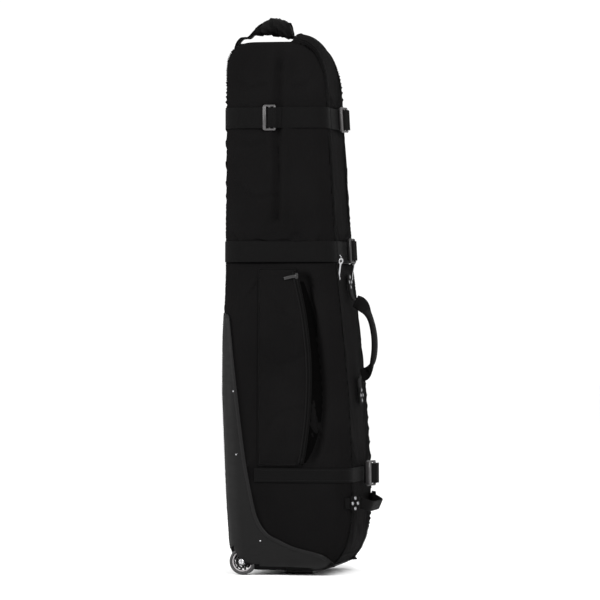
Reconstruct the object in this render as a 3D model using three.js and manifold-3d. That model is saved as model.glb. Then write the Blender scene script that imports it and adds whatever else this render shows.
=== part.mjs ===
// Wheeled golf travel case: a tall padded fabric case with a moulded boot, two in-line wheels,
// a front cover that zips open, webbing straps with ladder locks, and three carrying handles.
// Millimetres, +Z up, -Y is the front, +Y is the back where the wheels are, X is lateral.

import * as THREE from 'three';
import { mergeVertices } from 'three/addons/utils/BufferGeometryUtils.js';
import Module from 'manifold-3d';

const wasm = await Module();
wasm.setup();

// ---------------------------------------------------------------- driving dimensions

const CENTRE_SHIFT = 20.9;       // moves the case so that the origin is under the middle of its box
const HALF_WIDTH = 152;         // half the lateral width at the floor
const CORNER_R = 40;            // rounding between the side panels and the gussets
const SEAM_X = HALF_WIDTH - CORNER_R;
const TAPER = 0.2 / 1300;       // the case narrows by a fifth from floor to top
const BOTTOM_Z = 14;            // underside of the fabric body
const TOP_Z = 1268;             // flat top behind the cover
const CROWN_RISE = 27;          // how far the padded cover puffs above the flat top
const WAIST_Z = 741;            // seam where the cover is hinged
const COVER_HALF = 88;          // half width of the opening front cover, before the taper
const COVER_END_Y = -12;        // rear end of the cover on the top of the case
const GAP = 0.3;                // clearance between pieces that touch
const FABRIC_T = 3;
const PADDING_T = 8.5;
const BOOT_T = 3.4;
const STRAP_T = 3;
const STRAP_W = 52;
const NECK_Z = 1086;            // middle of the upper strap
const WAIST_STRAP_Z = 768;
const LOWER_STRAP_Z = 238;
const WHEEL_R = 32;
const WHEEL_W = 24;
const WHEEL_X = 131;
const AXLE_Y = 103;
const AXLE_Z = WHEEL_R;
const WELL_R = 43;
const BOLT_R = 4;

// ---------------------------------------------------------------- materials

function finish(colour, roughness, metalness = 0) {
  return new THREE.MeshStandardMaterial({ color: colour, roughness, metalness });
}

const ballistic = finish(0x1c1a1b, 0.85);
const foam = finish(0x3a3a3c, 0.95);
const webbing = finish(0x151415, 0.8);
const bootPlastic = finish(0x272426, 0.5);
const bucklePlastic = finish(0x54565a, 0.4);
const zipCoil = finish(0x101011, 0.5);
const silver = finish(0xc4c6c8, 0.25, 1);
const tyreRubber = finish(0x1a1a1b, 0.6);
const hubPlastic = finish(0x6d6f72, 0.45);
const bearingSteel = finish(0x9a9c9f, 0.3, 1);

// ---------------------------------------------------------------- solids

// Axes of a profile drawn as (y, z) and extruded along x.
const LATERAL = new THREE.Matrix4().set(0, 0, 1, 0, 1, 0, 0, 0, 0, 1, 0, 0, 0, 0, 0, 1);

function solid(geometry) {
  const bare = new THREE.BufferGeometry();
  bare.setAttribute('position', geometry.getAttribute('position').clone());
  if (geometry.index) bare.setIndex(geometry.index.clone());
  const merged = mergeVertices(bare, 1e-4);
  const vertProperties = Float32Array.from(merged.getAttribute('position').array);
  const triVerts = Uint32Array.from(merged.index.array);
  return new wasm.Manifold(new wasm.Mesh({ numProp: 3, vertProperties, triVerts }));
}

function geometryOf(manifold) {
  const mesh = manifold.getMesh();
  const geometry = new THREE.BufferGeometry();
  geometry.setAttribute('position', new THREE.BufferAttribute(mesh.vertProperties.slice(), 3));
  geometry.setIndex(new THREE.BufferAttribute(mesh.triVerts.slice(), 1));
  return geometry;
}

function box(x0, x1, y0, y1, z0, z1) {
  const geometry = new THREE.BoxGeometry(x1 - x0, y1 - y0, z1 - z0);
  geometry.translate((x0 + x1) / 2, (y0 + y1) / 2, (z0 + z1) / 2);
  return solid(geometry);
}

// A profile in the (y, z) plane, extruded from x0 to x1.
function prism(profile, x0, x1, curveSegments = 8) {
  const depth = x1 - x0;
  const geometry = new THREE.ExtrudeGeometry(profile, { depth, curveSegments, bevelEnabled: false });
  geometry.applyMatrix4(LATERAL);
  geometry.translate(x0, 0, 0);
  return solid(geometry);
}

function tapered(manifold) {
  const geometry = geometryOf(manifold);
  const position = geometry.getAttribute('position');
  for (let i = 0; i < position.count; i += 1) {
    position.setX(i, position.getX(i) * (1 - TAPER * position.getZ(i)));
  }
  return geometry;
}

function taperedX(x, z) {
  return x * (1 - TAPER * z);
}

const model = new THREE.Group();
const assembly = new THREE.Group();
assembly.position.y = CENTRE_SHIFT;
model.add(assembly);

function addPart(name, geometry, material, parent = assembly) {
  const mesh = new THREE.Mesh(geometry, material);
  mesh.name = name;
  parent.add(mesh);
  return mesh;
}

// ---------------------------------------------------------------- the body and its panels

// Side view of the case: flat bottom, upright back, flat top, rounded front shoulder, raked front.
function sideOutline() {
  const outline = new THREE.Shape();
  outline.moveTo(-84, BOTTOM_Z);
  outline.lineTo(68, BOTTOM_Z);
  outline.quadraticCurveTo(136, BOTTOM_Z, 138, 86);
  outline.lineTo(145, 185);
  outline.lineTo(156, 430);
  outline.lineTo(156, 560);
  outline.lineTo(151, 680);
  outline.lineTo(150, 1204);
  outline.quadraticCurveTo(148, TOP_Z, 88, TOP_Z);
  outline.lineTo(1, TOP_Z);
  outline.lineTo(-8, TOP_Z);
  outline.quadraticCurveTo(-84, TOP_Z - 6, -91, 1150);
  outline.lineTo(-116, WAIST_Z);
  outline.lineTo(-135, 566);
  outline.lineTo(-148, 433);
  outline.lineTo(-157, 277);
  outline.lineTo(-158, 170);
  outline.quadraticCurveTo(-156, 30, -84, BOTTOM_Z);
  return outline;
}

// The padded cover bulges upwards in its middle, most of all over the front shoulder.
function crownLift(x, y, z) {
  const across = 1 - (x / SEAM_X) ** 2;
  const start = THREE.MathUtils.smoothstep(-y, 0, 22);
  const fade = THREE.MathUtils.smoothstep(z, 1140, 1250);
  return CROWN_RISE * Math.max(across, 0) * start * fade;
}

// The whole body grown or shrunk evenly by an offset.
function bodyForm(offset) {
  const geometry = new THREE.ExtrudeGeometry(sideOutline(), {
    depth: 2 * SEAM_X,
    steps: 4,
    curveSegments: 5,
    bevelThickness: CORNER_R + offset,
    bevelSize: CORNER_R + offset,
    bevelOffset: -CORNER_R,
    bevelSegments: 3,
  });
  geometry.applyMatrix4(LATERAL);
  geometry.translate(-SEAM_X, 0, 0);
  const position = geometry.getAttribute('position');
  for (let i = 0; i < position.count; i += 1) {
    const lift = crownLift(position.getX(i), position.getY(i), position.getZ(i));
    position.setZ(i, position.getZ(i) + lift);
  }
  return solid(geometry);
}

function layer(outer, inner) {
  return bodyForm(outer).subtract(bodyForm(inner));
}

const FAR = 400;
const fabricLayer = layer(0, -FABRIC_T);
const paddingLayer = layer(-FABRIC_T - 0.5, -FABRIC_T - 0.5 - PADDING_T);
const strapLayer = layer(0.6 + STRAP_T, 0.6);
const coverGapZone = box(
  -COVER_HALF - GAP, COVER_HALF + GAP, -FAR, COVER_END_Y + GAP, WAIST_Z - GAP, 1500);

// Space taken by each wheel at the rear bottom corner.
function wheelWell(side, innerX) {
  const profile = new THREE.Shape();
  profile.moveTo(AXLE_Y - WELL_R, -60);
  profile.lineTo(AXLE_Y - WELL_R, AXLE_Z);
  profile.absarc(AXLE_Y, AXLE_Z, WELL_R, Math.PI, 0, true);
  profile.lineTo(AXLE_Y + WELL_R, -60);
  return side < 0 ? prism(profile, -FAR, -innerX) : prism(profile, innerX, FAR);
}

function sideZone(side, x0, z0, z1, y0 = -FAR, y1 = FAR) {
  return side < 0 ? box(-FAR, -x0, y0, y1, z0, z1) : box(x0, FAR, y0, y1, z0, z1);
}

function addSidePanels() {
  for (const [side, word] of [[-1, 'left'], [1, 'right']]) {
    const lowerZone = sideZone(side, SEAM_X + GAP, -FAR, WAIST_Z - GAP);
    const lower = fabricLayer.intersect(lowerZone).subtract(wheelWell(side, SEAM_X));
    addPart(`lower_side_panel_${word}`, tapered(lower), ballistic);
    const upperZone = sideZone(side, SEAM_X + GAP, WAIST_Z + GAP, 1500)
      .add(sideZone(side, COVER_HALF + GAP, WAIST_Z + GAP, 1500, -FAR, COVER_END_Y - GAP));
    addPart(`upper_side_panel_${word}`, tapered(fabricLayer.intersect(upperZone)), ballistic);
  }
}

function addGussets() {
  const strip = (y0, y1, z0, z1) => fabricLayer.intersect(box(-SEAM_X, SEAM_X, y0, y1, z0, z1));
  addPart('lower_front_panel', tapered(strip(-FAR, 0, 90 + GAP, WAIST_Z - GAP)), ballistic);
  addPart('bottom_panel', tapered(strip(-FAR, FAR, -FAR, 90)), ballistic);
  addPart('back_panel', tapered(strip(0, FAR, 90 + GAP, 1216)), ballistic);
  addPart('top_panel', tapered(strip(COVER_END_Y + GAP, FAR, 1216 + GAP, 1500)), ballistic);
}

function addPadding() {
  const lowerZone = box(-FAR, FAR, -FAR, FAR, -FAR, WAIST_Z - GAP);
  const lower = paddingLayer
    .intersect(lowerZone)
    .subtract(wheelWell(-1, SEAM_X - 1))
    .subtract(wheelWell(1, SEAM_X - 1));
  addPart('lower_padding', tapered(lower), foam);
  const upperZone = box(-FAR, FAR, -FAR, FAR, WAIST_Z + GAP, 1500);
  addPart('upper_padding', tapered(paddingLayer.intersect(upperZone).subtract(coverGapZone)), foam);
}

function addCover() {
  const shrunk = box(
    -COVER_HALF + GAP, COVER_HALF - GAP, -FAR, COVER_END_Y - GAP, WAIST_Z + GAP, 1500);
  addPart('front_cover', tapered(fabricLayer.intersect(shrunk)), ballistic);
  addPart('front_cover_padding', tapered(paddingLayer.intersect(shrunk)), foam);
}

// The zip runs up one side of the cover, across the top and down the other side.
function addMainZip() {
  const width = 15;
  const reach = COVER_HALF + width;
  const band = box(-reach, reach, -FAR, COVER_END_Y + 10, WAIST_Z + 2, 1500);
  const zip = layer(2.2, 0.5).intersect(band).subtract(coverGapZone);
  addPart('main_zip', tapered(zip), zipCoil);
}

// ---------------------------------------------------------------- boot

// Side view of the boot: high at the back, sweeping down to a low lip at the front.
function bootRegion() {
  const region = new THREE.Shape();
  region.moveTo(FAR, 620);
  region.lineTo(140, 620);
  region.lineTo(123, 505);
  region.lineTo(104, 352);
  region.lineTo(80, 204);
  region.quadraticCurveTo(66, 112, 26, 93);
  region.lineTo(-22, 70);
  region.lineTo(-80, 56);
  region.quadraticCurveTo(-104, 48, -120, 20);
  region.lineTo(-120, -60);
  region.lineTo(FAR, -60);
  return region;
}

function addBoot() {
  const shell = layer(0.6 + BOOT_T, 0.6)
    .intersect(prism(bootRegion(), -FAR, FAR, 5))
    .subtract(wheelWell(-1, SEAM_X))
    .subtract(wheelWell(1, SEAM_X));
  addPart('boot_shell', tapered(shell), bootPlastic);
}

function rivetHead(radius, height) {
  const profile = [
    new THREE.Vector2(0, 0),
    new THREE.Vector2(radius, 0),
    new THREE.Vector2(radius * 0.8, height * 0.65),
    new THREE.Vector2(0, height),
  ];
  return new THREE.LatheGeometry(profile, 8);
}

// A raised edge strip follows the front edge of the boot and carries its rivets.
function addBootEdges() {
  const inner = bootRegion();
  const stations = [[129, 545], [114, 430], [97, 310], [78, 204]];
  const cornerR = CORNER_R + 6.4;
  for (const [side, word] of [[-1, 'left'], [1, 'right']]) {
    const shifted = prism(inner, -FAR, FAR, 5).translate([0, 11, 0]);
    let strip = layer(6.4, 4.3)
      .intersect(prism(inner, -FAR, FAR, 5))
      .subtract(shifted)
      .intersect(sideZone(side, SEAM_X, 130, 600));
    for (const [y, z] of stations) {
      const head = rivetHead(4, 2.4);
      head.rotateZ(side < 0 ? Math.PI / 2 : -Math.PI / 2);
      const pastCorner = Math.max(0, y + 5.5 - 116);
      const drop = cornerR - Math.sqrt(cornerR ** 2 - pastCorner ** 2);
      head.translate(side * (HALF_WIDTH + 6.2 - drop), y + 5.5, z);
      strip = strip.add(solid(head));
    }
    addPart(`boot_edge_${word}`, tapered(strip), bootPlastic);
  }
}

function addFoot() {
  const profile = new THREE.Shape();
  profile.moveTo(-44, 0);
  profile.lineTo(4, 0);
  profile.lineTo(12, BOTTOM_Z - 4.4);
  profile.lineTo(-54, BOTTOM_Z - 4.4);
  addPart('foot_skid', geometryOf(prism(profile, -70, 70)), bootPlastic);
}

// ---------------------------------------------------------------- side pockets

function pocketOutline(inset) {
  const outline = new THREE.Shape();
  const front = -46 + inset;
  outline.moveTo(62 - inset, 259 + inset);
  outline.lineTo(62 - inset, 730 - inset);
  outline.lineTo(front, 730 - inset);
  outline.quadraticCurveTo(-104 + inset, 440, front, 259 + inset);
  return outline;
}

// Each pocket is a shallow pouch sewn to the side panel, with a slit for its zip at the front.
function addPockets() {
  const depth = 17;
  for (const [side, word] of [[-1, 'left'], [1, 'right']]) {
    const outside = sideZone(side, 100, -FAR, 1500);
    const skin = layer(depth, 0.6).intersect(prism(pocketOutline(0), -FAR, FAR)).intersect(outside);
    const hollow = bodyForm(depth - 3).intersect(prism(pocketOutline(3), -FAR, FAR));
    const slitX = HALF_WIDTH + depth / 2;
    const slit = sideZone(side, slitX - 3, 300, 690, -FAR, -40)
      .subtract(sideZone(side, slitX + 3, -FAR, 1500));
    addPart(`side_pocket_${word}`, tapered(skin.subtract(hollow).subtract(slit)), ballistic);
  }
}

// ---------------------------------------------------------------- straps and ladder locks

function strapBand(z, width = STRAP_W) {
  return strapLayer.intersect(box(-FAR, FAR, -FAR, FAR, z - width / 2, z + width / 2));
}

function addStraps() {
  const frontPart = box(-COVER_HALF + 1, COVER_HALF - 1, -FAR, 0, 0, 1500);
  const zipLane = box(-COVER_HALF - 22, COVER_HALF + 22, -FAR, 0, 0, 1500);
  addPart('neck_strap', tapered(strapBand(NECK_Z).subtract(zipLane)), webbing);
  addPart('neck_strap_front', tapered(strapBand(NECK_Z).intersect(frontPart)), webbing);
  addPart('waist_strap', tapered(strapBand(WAIST_STRAP_Z).subtract(zipLane)), webbing);
  addPart('waist_strap_front', tapered(strapBand(WAIST_STRAP_Z).intersect(frontPart)), webbing);
  const ahead = box(-FAR, FAR, -FAR, 74, 0, 400);
  const lower = strapBand(LOWER_STRAP_Z, 34).intersect(ahead);
  addPart('lower_strap', tapered(lower), webbing);
}

// A ladder lock is a flat frame with two slots for the webbing, drawn facing -Y.
function ladderLock(height, width, thickness) {
  const frame = new THREE.Shape();
  const h = height / 2;
  const w = width / 2;
  frame.moveTo(-w + 3, -h);
  frame.lineTo(w - 3, -h);
  frame.lineTo(w, -h + 3);
  frame.lineTo(w, h - 3);
  frame.lineTo(w - 3, h);
  frame.lineTo(-w + 3, h);
  frame.lineTo(-w, h - 3);
  frame.lineTo(-w, -h + 3);
  const geometry = new THREE.ExtrudeGeometry(frame, { depth: thickness, bevelEnabled: false });
  geometry.rotateX(Math.PI / 2);
  const near = 2.4;
  const far = w - 4;
  const left = box(-far, -near, -FAR, FAR, -h + 4, h - 4);
  const right = box(near, far, -FAR, FAR, -h + 4, h - 4);
  return geometryOf(solid(geometry).subtract(left).subtract(right));
}

// A turn about the upright axis points a lock to a side or the back.
function addLock(name, x, y, z, turn, height = 60, width = 25) {
  const lock = addPart(name, ladderLock(height, width, 4), bucklePlastic);
  lock.position.set(x, y, z);
  lock.rotation.z = turn;
  return lock;
}

function addLocks() {
  const sideX = taperedX(HALF_WIDTH + 0.6 + STRAP_T, NECK_Z) + 1;
  addLock('neck_lock_left', -sideX, 38, NECK_Z, -Math.PI / 2);
  addLock('neck_lock_right', sideX, 38, NECK_Z, Math.PI / 2);
  addLock('neck_lock_back', -40, 155, NECK_Z, Math.PI);
  addLock('neck_lock_front', 22, -108, NECK_Z, -0.35);
  addLock('waist_lock_front', 16, -129, WAIST_STRAP_Z + 3, -0.25, 58);
  addLock('lower_lock_front', 14, -176, LOWER_STRAP_Z, -0.6);
}

// ---------------------------------------------------------------- webbing loops

// A flat ribbon, or a sleeve round one, swept along points given as (x, y, z).
function ribbon(points, width, thickness, steps, hole = null) {
  const section = rectangle(width, thickness);
  if (hole) section.holes.push(rectangle(hole[0], hole[1]));
  const extrudePath = new THREE.CatmullRomCurve3(points.map((p) => new THREE.Vector3(...p)));
  return new THREE.ExtrudeGeometry(section, { steps, extrudePath, bevelEnabled: false });
}

function rectangle(width, thickness) {
  const shape = new THREE.Shape();
  shape.moveTo(-width / 2, -thickness / 2);
  shape.lineTo(width / 2, -thickness / 2);
  shape.lineTo(width / 2, thickness / 2);
  shape.lineTo(-width / 2, thickness / 2);
  return shape;
}

// Four domed rivets in a diamond on one washer plate.
function rivetCluster(spacing = 10.5) {
  const plate = new THREE.BoxGeometry(24, 2, 30);
  let cluster = solid(plate);
  for (const [dx, dz] of [[0, 1], [0, -1], [0.72, 0], [-0.72, 0]]) {
    const head = rivetHead(4.2, 3.4);
    head.rotateX(Math.PI);
    head.translate(dx * spacing, -0.6, dz * spacing);
    cluster = cluster.add(solid(head));
  }
  return geometryOf(cluster);
}

function addRivets(name, x, y, z, pitch, turn = 0) {
  const rivets = addPart(name, rivetCluster(), silver);
  rivets.position.set(x, y, z);
  rivets.rotation.set(pitch, 0, turn, 'ZYX');
}

function addCarryHandle() {
  const loop = [[0, -143, 650], [0, -145, 640], [0, -160, 624], [0, -180, 604], [0, -188, 570],
    [0, -190, 536], [0, -186, 508], [0, -170, 492], [0, -159, 482], [0, -158, 472]];
  addPart('carry_handle', ribbon(loop, 38, 4.5, 26), webbing);
  const upper = [[0, -122.5, 714], [0, -126.5, 680], [0, -130, 670], [0, -140, 662], [0, -143, 651]];
  addPart('carry_anchor_upper', ribbon(upper, 40, 3.4, 12), webbing);
  const lower = [[0, -158, 471], [0, -157, 462], [0, -151.5, 452], [0, -150.5, 445], [0, -154, 405]];
  addPart('carry_anchor_lower', ribbon(lower, 40, 3.4, 12), webbing);
  addRivets('carry_rivets_upper', 0, -128.3, 696, -0.117);
  addRivets('carry_rivets_lower', 0, -156, 425, -0.087);
}

function addTopHandle() {
  const loop = [[0, 125, 1285], [0, 116, 1286], [0, 104, 1298], [0, 88, 1314], [0, 66, 1322],
    [0, 44, 1320], [0, 28, 1306], [0, 19, 1291], [0, 11, 1288]];
  addPart('top_handle_strap', ribbon(loop, 38, 4, 26), webbing);
  const wrapped = loop.slice(2, 7);
  addPart('top_handle_grip', ribbon(wrapped, 46, 22, 12, [39.4, 6.4]), webbing);
  const rear = [[0, 153.2, 1180], [0, 153, 1215], [0, 152, 1245], [0, 146, 1270],
    [0, 136, 1283], [0, 126, 1285]];
  addPart('top_anchor_rear', ribbon(rear, 38, 3.4, 14), webbing);
  const fore = [[0, 9, 1288], [0, 5, 1287], [0, 3.5, 1281], [0, 8, 1273.6], [0, 16, 1271.2],
    [0, 48, 1270.6]];
  addPart('top_anchor_front', ribbon(fore, 38, 2.8, 16), webbing);
}

// The foot handle crosses the front near the floor and is used to lift the wheeled end.
function addFootHandle() {
  const root = -170;
  const half = [[-83, 0, 0], [-74, -1, 0], [-64, -9, 0], [-48, -20, 0], [-24, -26, 0]];
  const mirrored = half.map(([x, y, z]) => [-x, y, z]).reverse();
  const strap = ribbon([...half, [0, -27, 0], ...mirrored], 26, 4, 30);
  strap.rotateX(0.4);
  const handle = addPart('foot_handle', strap, webbing);
  handle.position.set(0, root, 172);
  for (const [side, word] of [[-1, 'left'], [1, 'right']]) {
    const tail = [[140, -146], [133, -153.2], [122, -158.6], [108, -160.6], [98, -162.4],
      [90, -168.4], [84, root]].map(([x, y]) => [side * x, y, 0]);
    const anchor = addPart(`foot_anchor_${word}`, ribbon(tail, 26, 3, 16), webbing);
    anchor.position.z = 172;
    addRivets(`foot_rivets_${word}`, side * 118.9, -164.4, 172, 0, side * 0.21);
  }
}

// ---------------------------------------------------------------- zip sliders

const zipX = COVER_HALF + 9;

function addZipSliders() {
  const outline = new THREE.Shape();
  outline.moveTo(-6, -9);
  outline.lineTo(6, -9);
  outline.lineTo(5, 9);
  outline.lineTo(-5, 9);
  const bridge = new THREE.Shape();
  bridge.moveTo(0, -6);
  bridge.lineTo(5.4, -4);
  bridge.lineTo(5.4, 4);
  bridge.lineTo(0, 6);
  bridge.lineTo(0, 3.6);
  bridge.lineTo(3.4, 2.4);
  bridge.lineTo(3.4, -2.4);
  bridge.lineTo(0, -3.6);
  const z = WAIST_Z + 13;
  for (const [side, word] of [[-1, 'left'], [1, 'right']]) {
    const plate = new THREE.ExtrudeGeometry(outline, { depth: 2.4, bevelEnabled: false });
    plate.rotateX(Math.PI / 2);
    const loop = new THREE.ExtrudeGeometry(bridge, { depth: 3, bevelEnabled: false });
    loop.applyMatrix4(LATERAL);
    loop.rotateZ(Math.PI);
    loop.translate(1.5, -2.3, 0);
    const slider = addPart(`zip_slider_${word}`, geometryOf(solid(plate).add(solid(loop))), silver);
    slider.position.set(side * taperedX(zipX, z), -118.3, z);
    slider.rotation.x = -0.061;
    addPuller(word, side * taperedX(zipX, z), z);
  }
}

// A flat disc facing -Y, centred at height z.
function flatDisc(radius, thickness, z) {
  const disc = new THREE.CylinderGeometry(radius, radius, thickness, 16);
  disc.translate(0, 0, z);
  return solid(disc);
}

// The puller hangs from the bridge by its ring, with a narrow stem and a small eyelet below.
function addPuller(word, x, z) {
  const ring = -4.7;
  const eyelet = ring - 38;
  const pull = box(-1.9, 1.9, -1, 1, eyelet, ring - 4)
    .add(flatDisc(5.8, 2, ring))
    .add(flatDisc(4.4, 2, eyelet))
    .subtract(flatDisc(3.6, 8, ring))
    .subtract(flatDisc(2, 8, eyelet));
  const puller = addPart(`zip_puller_${word}`, geometryOf(pull), silver);
  puller.position.set(x, -122.35, z);
}

// ---------------------------------------------------------------- wheels

function ringSection(points) {
  return points.map(([r, x]) => new THREE.Vector2(r, x));
}

function turned(points, segments) {
  const geometry = new THREE.LatheGeometry(ringSection(points), segments);
  geometry.rotateZ(-Math.PI / 2);
  return geometry;
}

function wheelHub() {
  const disc = new THREE.Shape();
  disc.absarc(0, 0, 24.6, 0, Math.PI * 2, false);
  const bore = new THREE.Path();
  bore.absarc(0, 0, 8.3, 0, Math.PI * 2, true);
  disc.holes.push(bore);
  addWindows(disc, 6, 10.8, 14.6, 0.72);
  addWindows(disc, 12, 17.2, 21.6, 0.7);
  const depth = 17;
  const geometry = new THREE.ExtrudeGeometry(disc, { depth, curveSegments: 14, bevelEnabled: false });
  geometry.applyMatrix4(LATERAL);
  geometry.translate(-depth / 2, 0, 0);
  return geometry;
}

function addWindows(disc, count, innerR, outerR, share) {
  const half = (Math.PI / count) * share;
  for (let i = 0; i < count; i += 1) {
    const angle = (i / count) * Math.PI * 2;
    const hole = new THREE.Path();
    for (const [r, a] of [[innerR, -half], [innerR, half], [outerR, half], [outerR, -half]]) {
      const y = r * Math.cos(angle + a);
      const z = r * Math.sin(angle + a);
      if (hole.curves.length === 0 && r === innerR && a < 0) hole.moveTo(y, z);
      else hole.lineTo(y, z);
    }
    disc.holes.push(hole);
  }
}

function wheelHousing(side) {
  const r = WELL_R - 0.5;
  const arch = new THREE.Shape();
  arch.moveTo(AXLE_Y - r, BOTTOM_Z + 6);
  arch.lineTo(AXLE_Y - r, AXLE_Z);
  arch.absarc(AXLE_Y, AXLE_Z, r, Math.PI, 0.35, true);
  arch.absarc(AXLE_Y, AXLE_Z, r - 5, 0.35, Math.PI, false);
  arch.lineTo(AXLE_Y - r + 5, BOTTOM_Z + 6);
  const ear = new THREE.Shape();
  ear.moveTo(AXLE_Y - r, AXLE_Z - 4);
  ear.absarc(AXLE_Y, AXLE_Z, r, Math.PI, Math.PI * 0.42, true);
  ear.lineTo(AXLE_Y + 8, AXLE_Z + 6);
  ear.absarc(AXLE_Y, AXLE_Z, 10, 0.64, -Math.PI * 0.62, true);
  const hole = axleHole(BOLT_R + 0.3);
  const inner = SEAM_X + 0.6;
  const outer = WHEEL_X + WHEEL_W / 2 + 1.6;
  const parts = [[ear, inner, inner + 4.4], [arch, inner + 4, outer + 0.4], [ear, outer, outer + 3.2]];
  let housing = null;
  for (const [profile, x0, x1] of parts) {
    const piece = side < 0 ? prism(profile, -x1, -x0, 10) : prism(profile, x0, x1, 10);
    housing = housing ? housing.add(piece) : piece;
  }
  return geometryOf(housing.subtract(hole));
}

function axleHole(radius) {
  const circle = new THREE.Shape();
  circle.absarc(AXLE_Y, AXLE_Z, radius, 0, Math.PI * 2, false);
  return prism(circle, -FAR, FAR, 10);
}

// Bolt with a round head and a hexagonal socket, drawn with its head towards +X.
function axleBolt() {
  const length = WHEEL_W + 8.4;
  const bolt = turned([[0, -length / 2], [BOLT_R, -length / 2], [BOLT_R, length / 2],
    [6.4, length / 2], [6.4, length / 2 + 2.4], [5.2, length / 2 + 3.6], [0, length / 2 + 3.6]], 20);
  const socket = new THREE.CylinderGeometry(2.6, 2.6, 4, 6);
  socket.rotateZ(-Math.PI / 2);
  socket.translate(length / 2 + 3.6, 0, 0);
  return geometryOf(solid(bolt).subtract(solid(socket)));
}

function addWheels() {
  const half = WHEEL_W / 2;
  const tyre = [[25, -half + 2.6], [28.4, -half], [30.6, -half * 0.62], [WHEEL_R, -half * 0.25],
    [WHEEL_R, half * 0.25], [30.6, half * 0.62], [28.4, half], [25, half - 2.6]];
  const bearing = [[BOLT_R + 0.35, -8.2], [8, -8.2], [8, -3.2], [6.2, -3.2], [6.2, 3.2],
    [8, 3.2], [8, 8.2], [BOLT_R + 0.35, 8.2]];
  for (const [side, word] of [[-1, 'left'], [1, 'right']]) {
    const wheel = new THREE.Group();
    wheel.position.set(side * WHEEL_X, AXLE_Y, AXLE_Z);
    assembly.add(wheel);
    addPart(`tyre_${word}`, turned([...tyre, tyre[0]], 36), tyreRubber, wheel);
    addPart(`wheel_hub_${word}`, wheelHub(), hubPlastic, wheel);
    addPart(`wheel_bearings_${word}`, turned([...bearing, bearing[0]], 20), bearingSteel, wheel);
    const bolt = addPart(`axle_bolt_${word}`, axleBolt(), silver, wheel);
    bolt.rotation.z = side < 0 ? Math.PI : 0;
    bolt.position.x = side * 1.2;
    addPart(`wheel_housing_${word}`, wheelHousing(side), bootPlastic);
  }
}

addSidePanels();
addGussets();
addPadding();
addCover();
addMainZip();
addBoot();
addBootEdges();
addFoot();
addPockets();
addStraps();
addLocks();
addCarryHandle();
addTopHandle();
addFootHandle();
addZipSliders();
addWheels();

export default model;
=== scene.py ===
"""Looks of the wheeled golf travel case, around its CAD frame. Metres, +Z up, -Y front."""
import math

import bmesh
import bpy
import numpy as np
from mathutils import Matrix, Vector, noise


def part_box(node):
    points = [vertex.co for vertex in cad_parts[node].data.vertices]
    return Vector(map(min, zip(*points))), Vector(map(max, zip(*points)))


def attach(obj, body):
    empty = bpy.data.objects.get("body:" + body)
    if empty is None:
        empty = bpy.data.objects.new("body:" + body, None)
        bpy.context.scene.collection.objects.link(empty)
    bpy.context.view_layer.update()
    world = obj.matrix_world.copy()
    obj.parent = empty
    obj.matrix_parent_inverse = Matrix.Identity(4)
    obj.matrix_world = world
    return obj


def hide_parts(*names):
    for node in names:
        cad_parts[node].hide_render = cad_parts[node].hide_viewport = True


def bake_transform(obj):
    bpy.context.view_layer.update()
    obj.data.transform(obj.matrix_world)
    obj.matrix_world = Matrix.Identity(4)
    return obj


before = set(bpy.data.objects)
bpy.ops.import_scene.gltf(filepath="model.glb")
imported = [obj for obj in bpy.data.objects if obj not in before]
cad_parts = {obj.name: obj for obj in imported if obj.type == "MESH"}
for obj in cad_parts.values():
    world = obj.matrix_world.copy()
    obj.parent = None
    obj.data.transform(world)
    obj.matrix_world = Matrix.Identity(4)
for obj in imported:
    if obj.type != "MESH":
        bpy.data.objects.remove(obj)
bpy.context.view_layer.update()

# ---------------------------------------------------------------- driving dimensions

HALF_WIDTH = 0.152        # half the lateral width at the floor
CORNER = 0.040            # rounding between side panels and gussets
SEAM = HALF_WIDTH - CORNER
TAPER = 0.2 / 1.3         # the case narrows by a fifth from floor to top
TOP_Z = 1.268
WAIST_Z = 0.741
SEAM_GAP = 0.0008         # half the gap between the panels at the waist seam
COVER_GAP = 0.0003        # gap between the cover's edge and the case
COVER_HALF = 0.088
COVER_END_Y = -0.012
CROWN_RISE = 0.027
LOCK_H = 0.060
SHIFT = 0.0209            # the case's own middle line lies this far behind the origin
NECK_Z = sum(c[2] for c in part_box("neck_strap")) / 2
WAIST_STRAP_Z = sum(c[2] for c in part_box("waist_strap")) / 2
LOWER_STRAP_Z = sum(c[2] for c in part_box("lower_strap")) / 2
STRAP_W, LOWER_STRAP_W = 0.050, 0.034
SIDES = ((-1, "left"), (1, "right"))

# ---------------------------------------------------------------- camera

VIEW_AZIMUTH = math.radians(282)
VIEW_DISTANCE = 9.0
VIEW_HEIGHT = 0.653
VIEW_SHIFT = 0.0072       # the camera aims this far to the right of the case's middle
FIELD = 1.444             # metres across the picture at the case
SENSOR = 36


def add_camera():
    back = Vector((math.sin(VIEW_AZIMUTH), -math.cos(VIEW_AZIMUTH), 0))
    right = Vector((math.cos(VIEW_AZIMUTH), math.sin(VIEW_AZIMUTH), 0))
    target = Vector((0, SHIFT, VIEW_HEIGHT)) + right * VIEW_SHIFT
    data = bpy.data.cameras.new("camera")
    data.sensor_width = SENSOR
    data.lens = SENSOR * VIEW_DISTANCE / FIELD
    camera = bpy.data.objects.new("camera", data)
    camera.location = target + back * VIEW_DISTANCE
    camera.rotation_euler = (target - camera.location).to_track_quat("-Z", "Y").to_euler()
    bpy.context.collection.objects.link(camera)
    bpy.context.scene.camera = camera


add_camera()

# ---------------------------------------------------------------- materials


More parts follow.
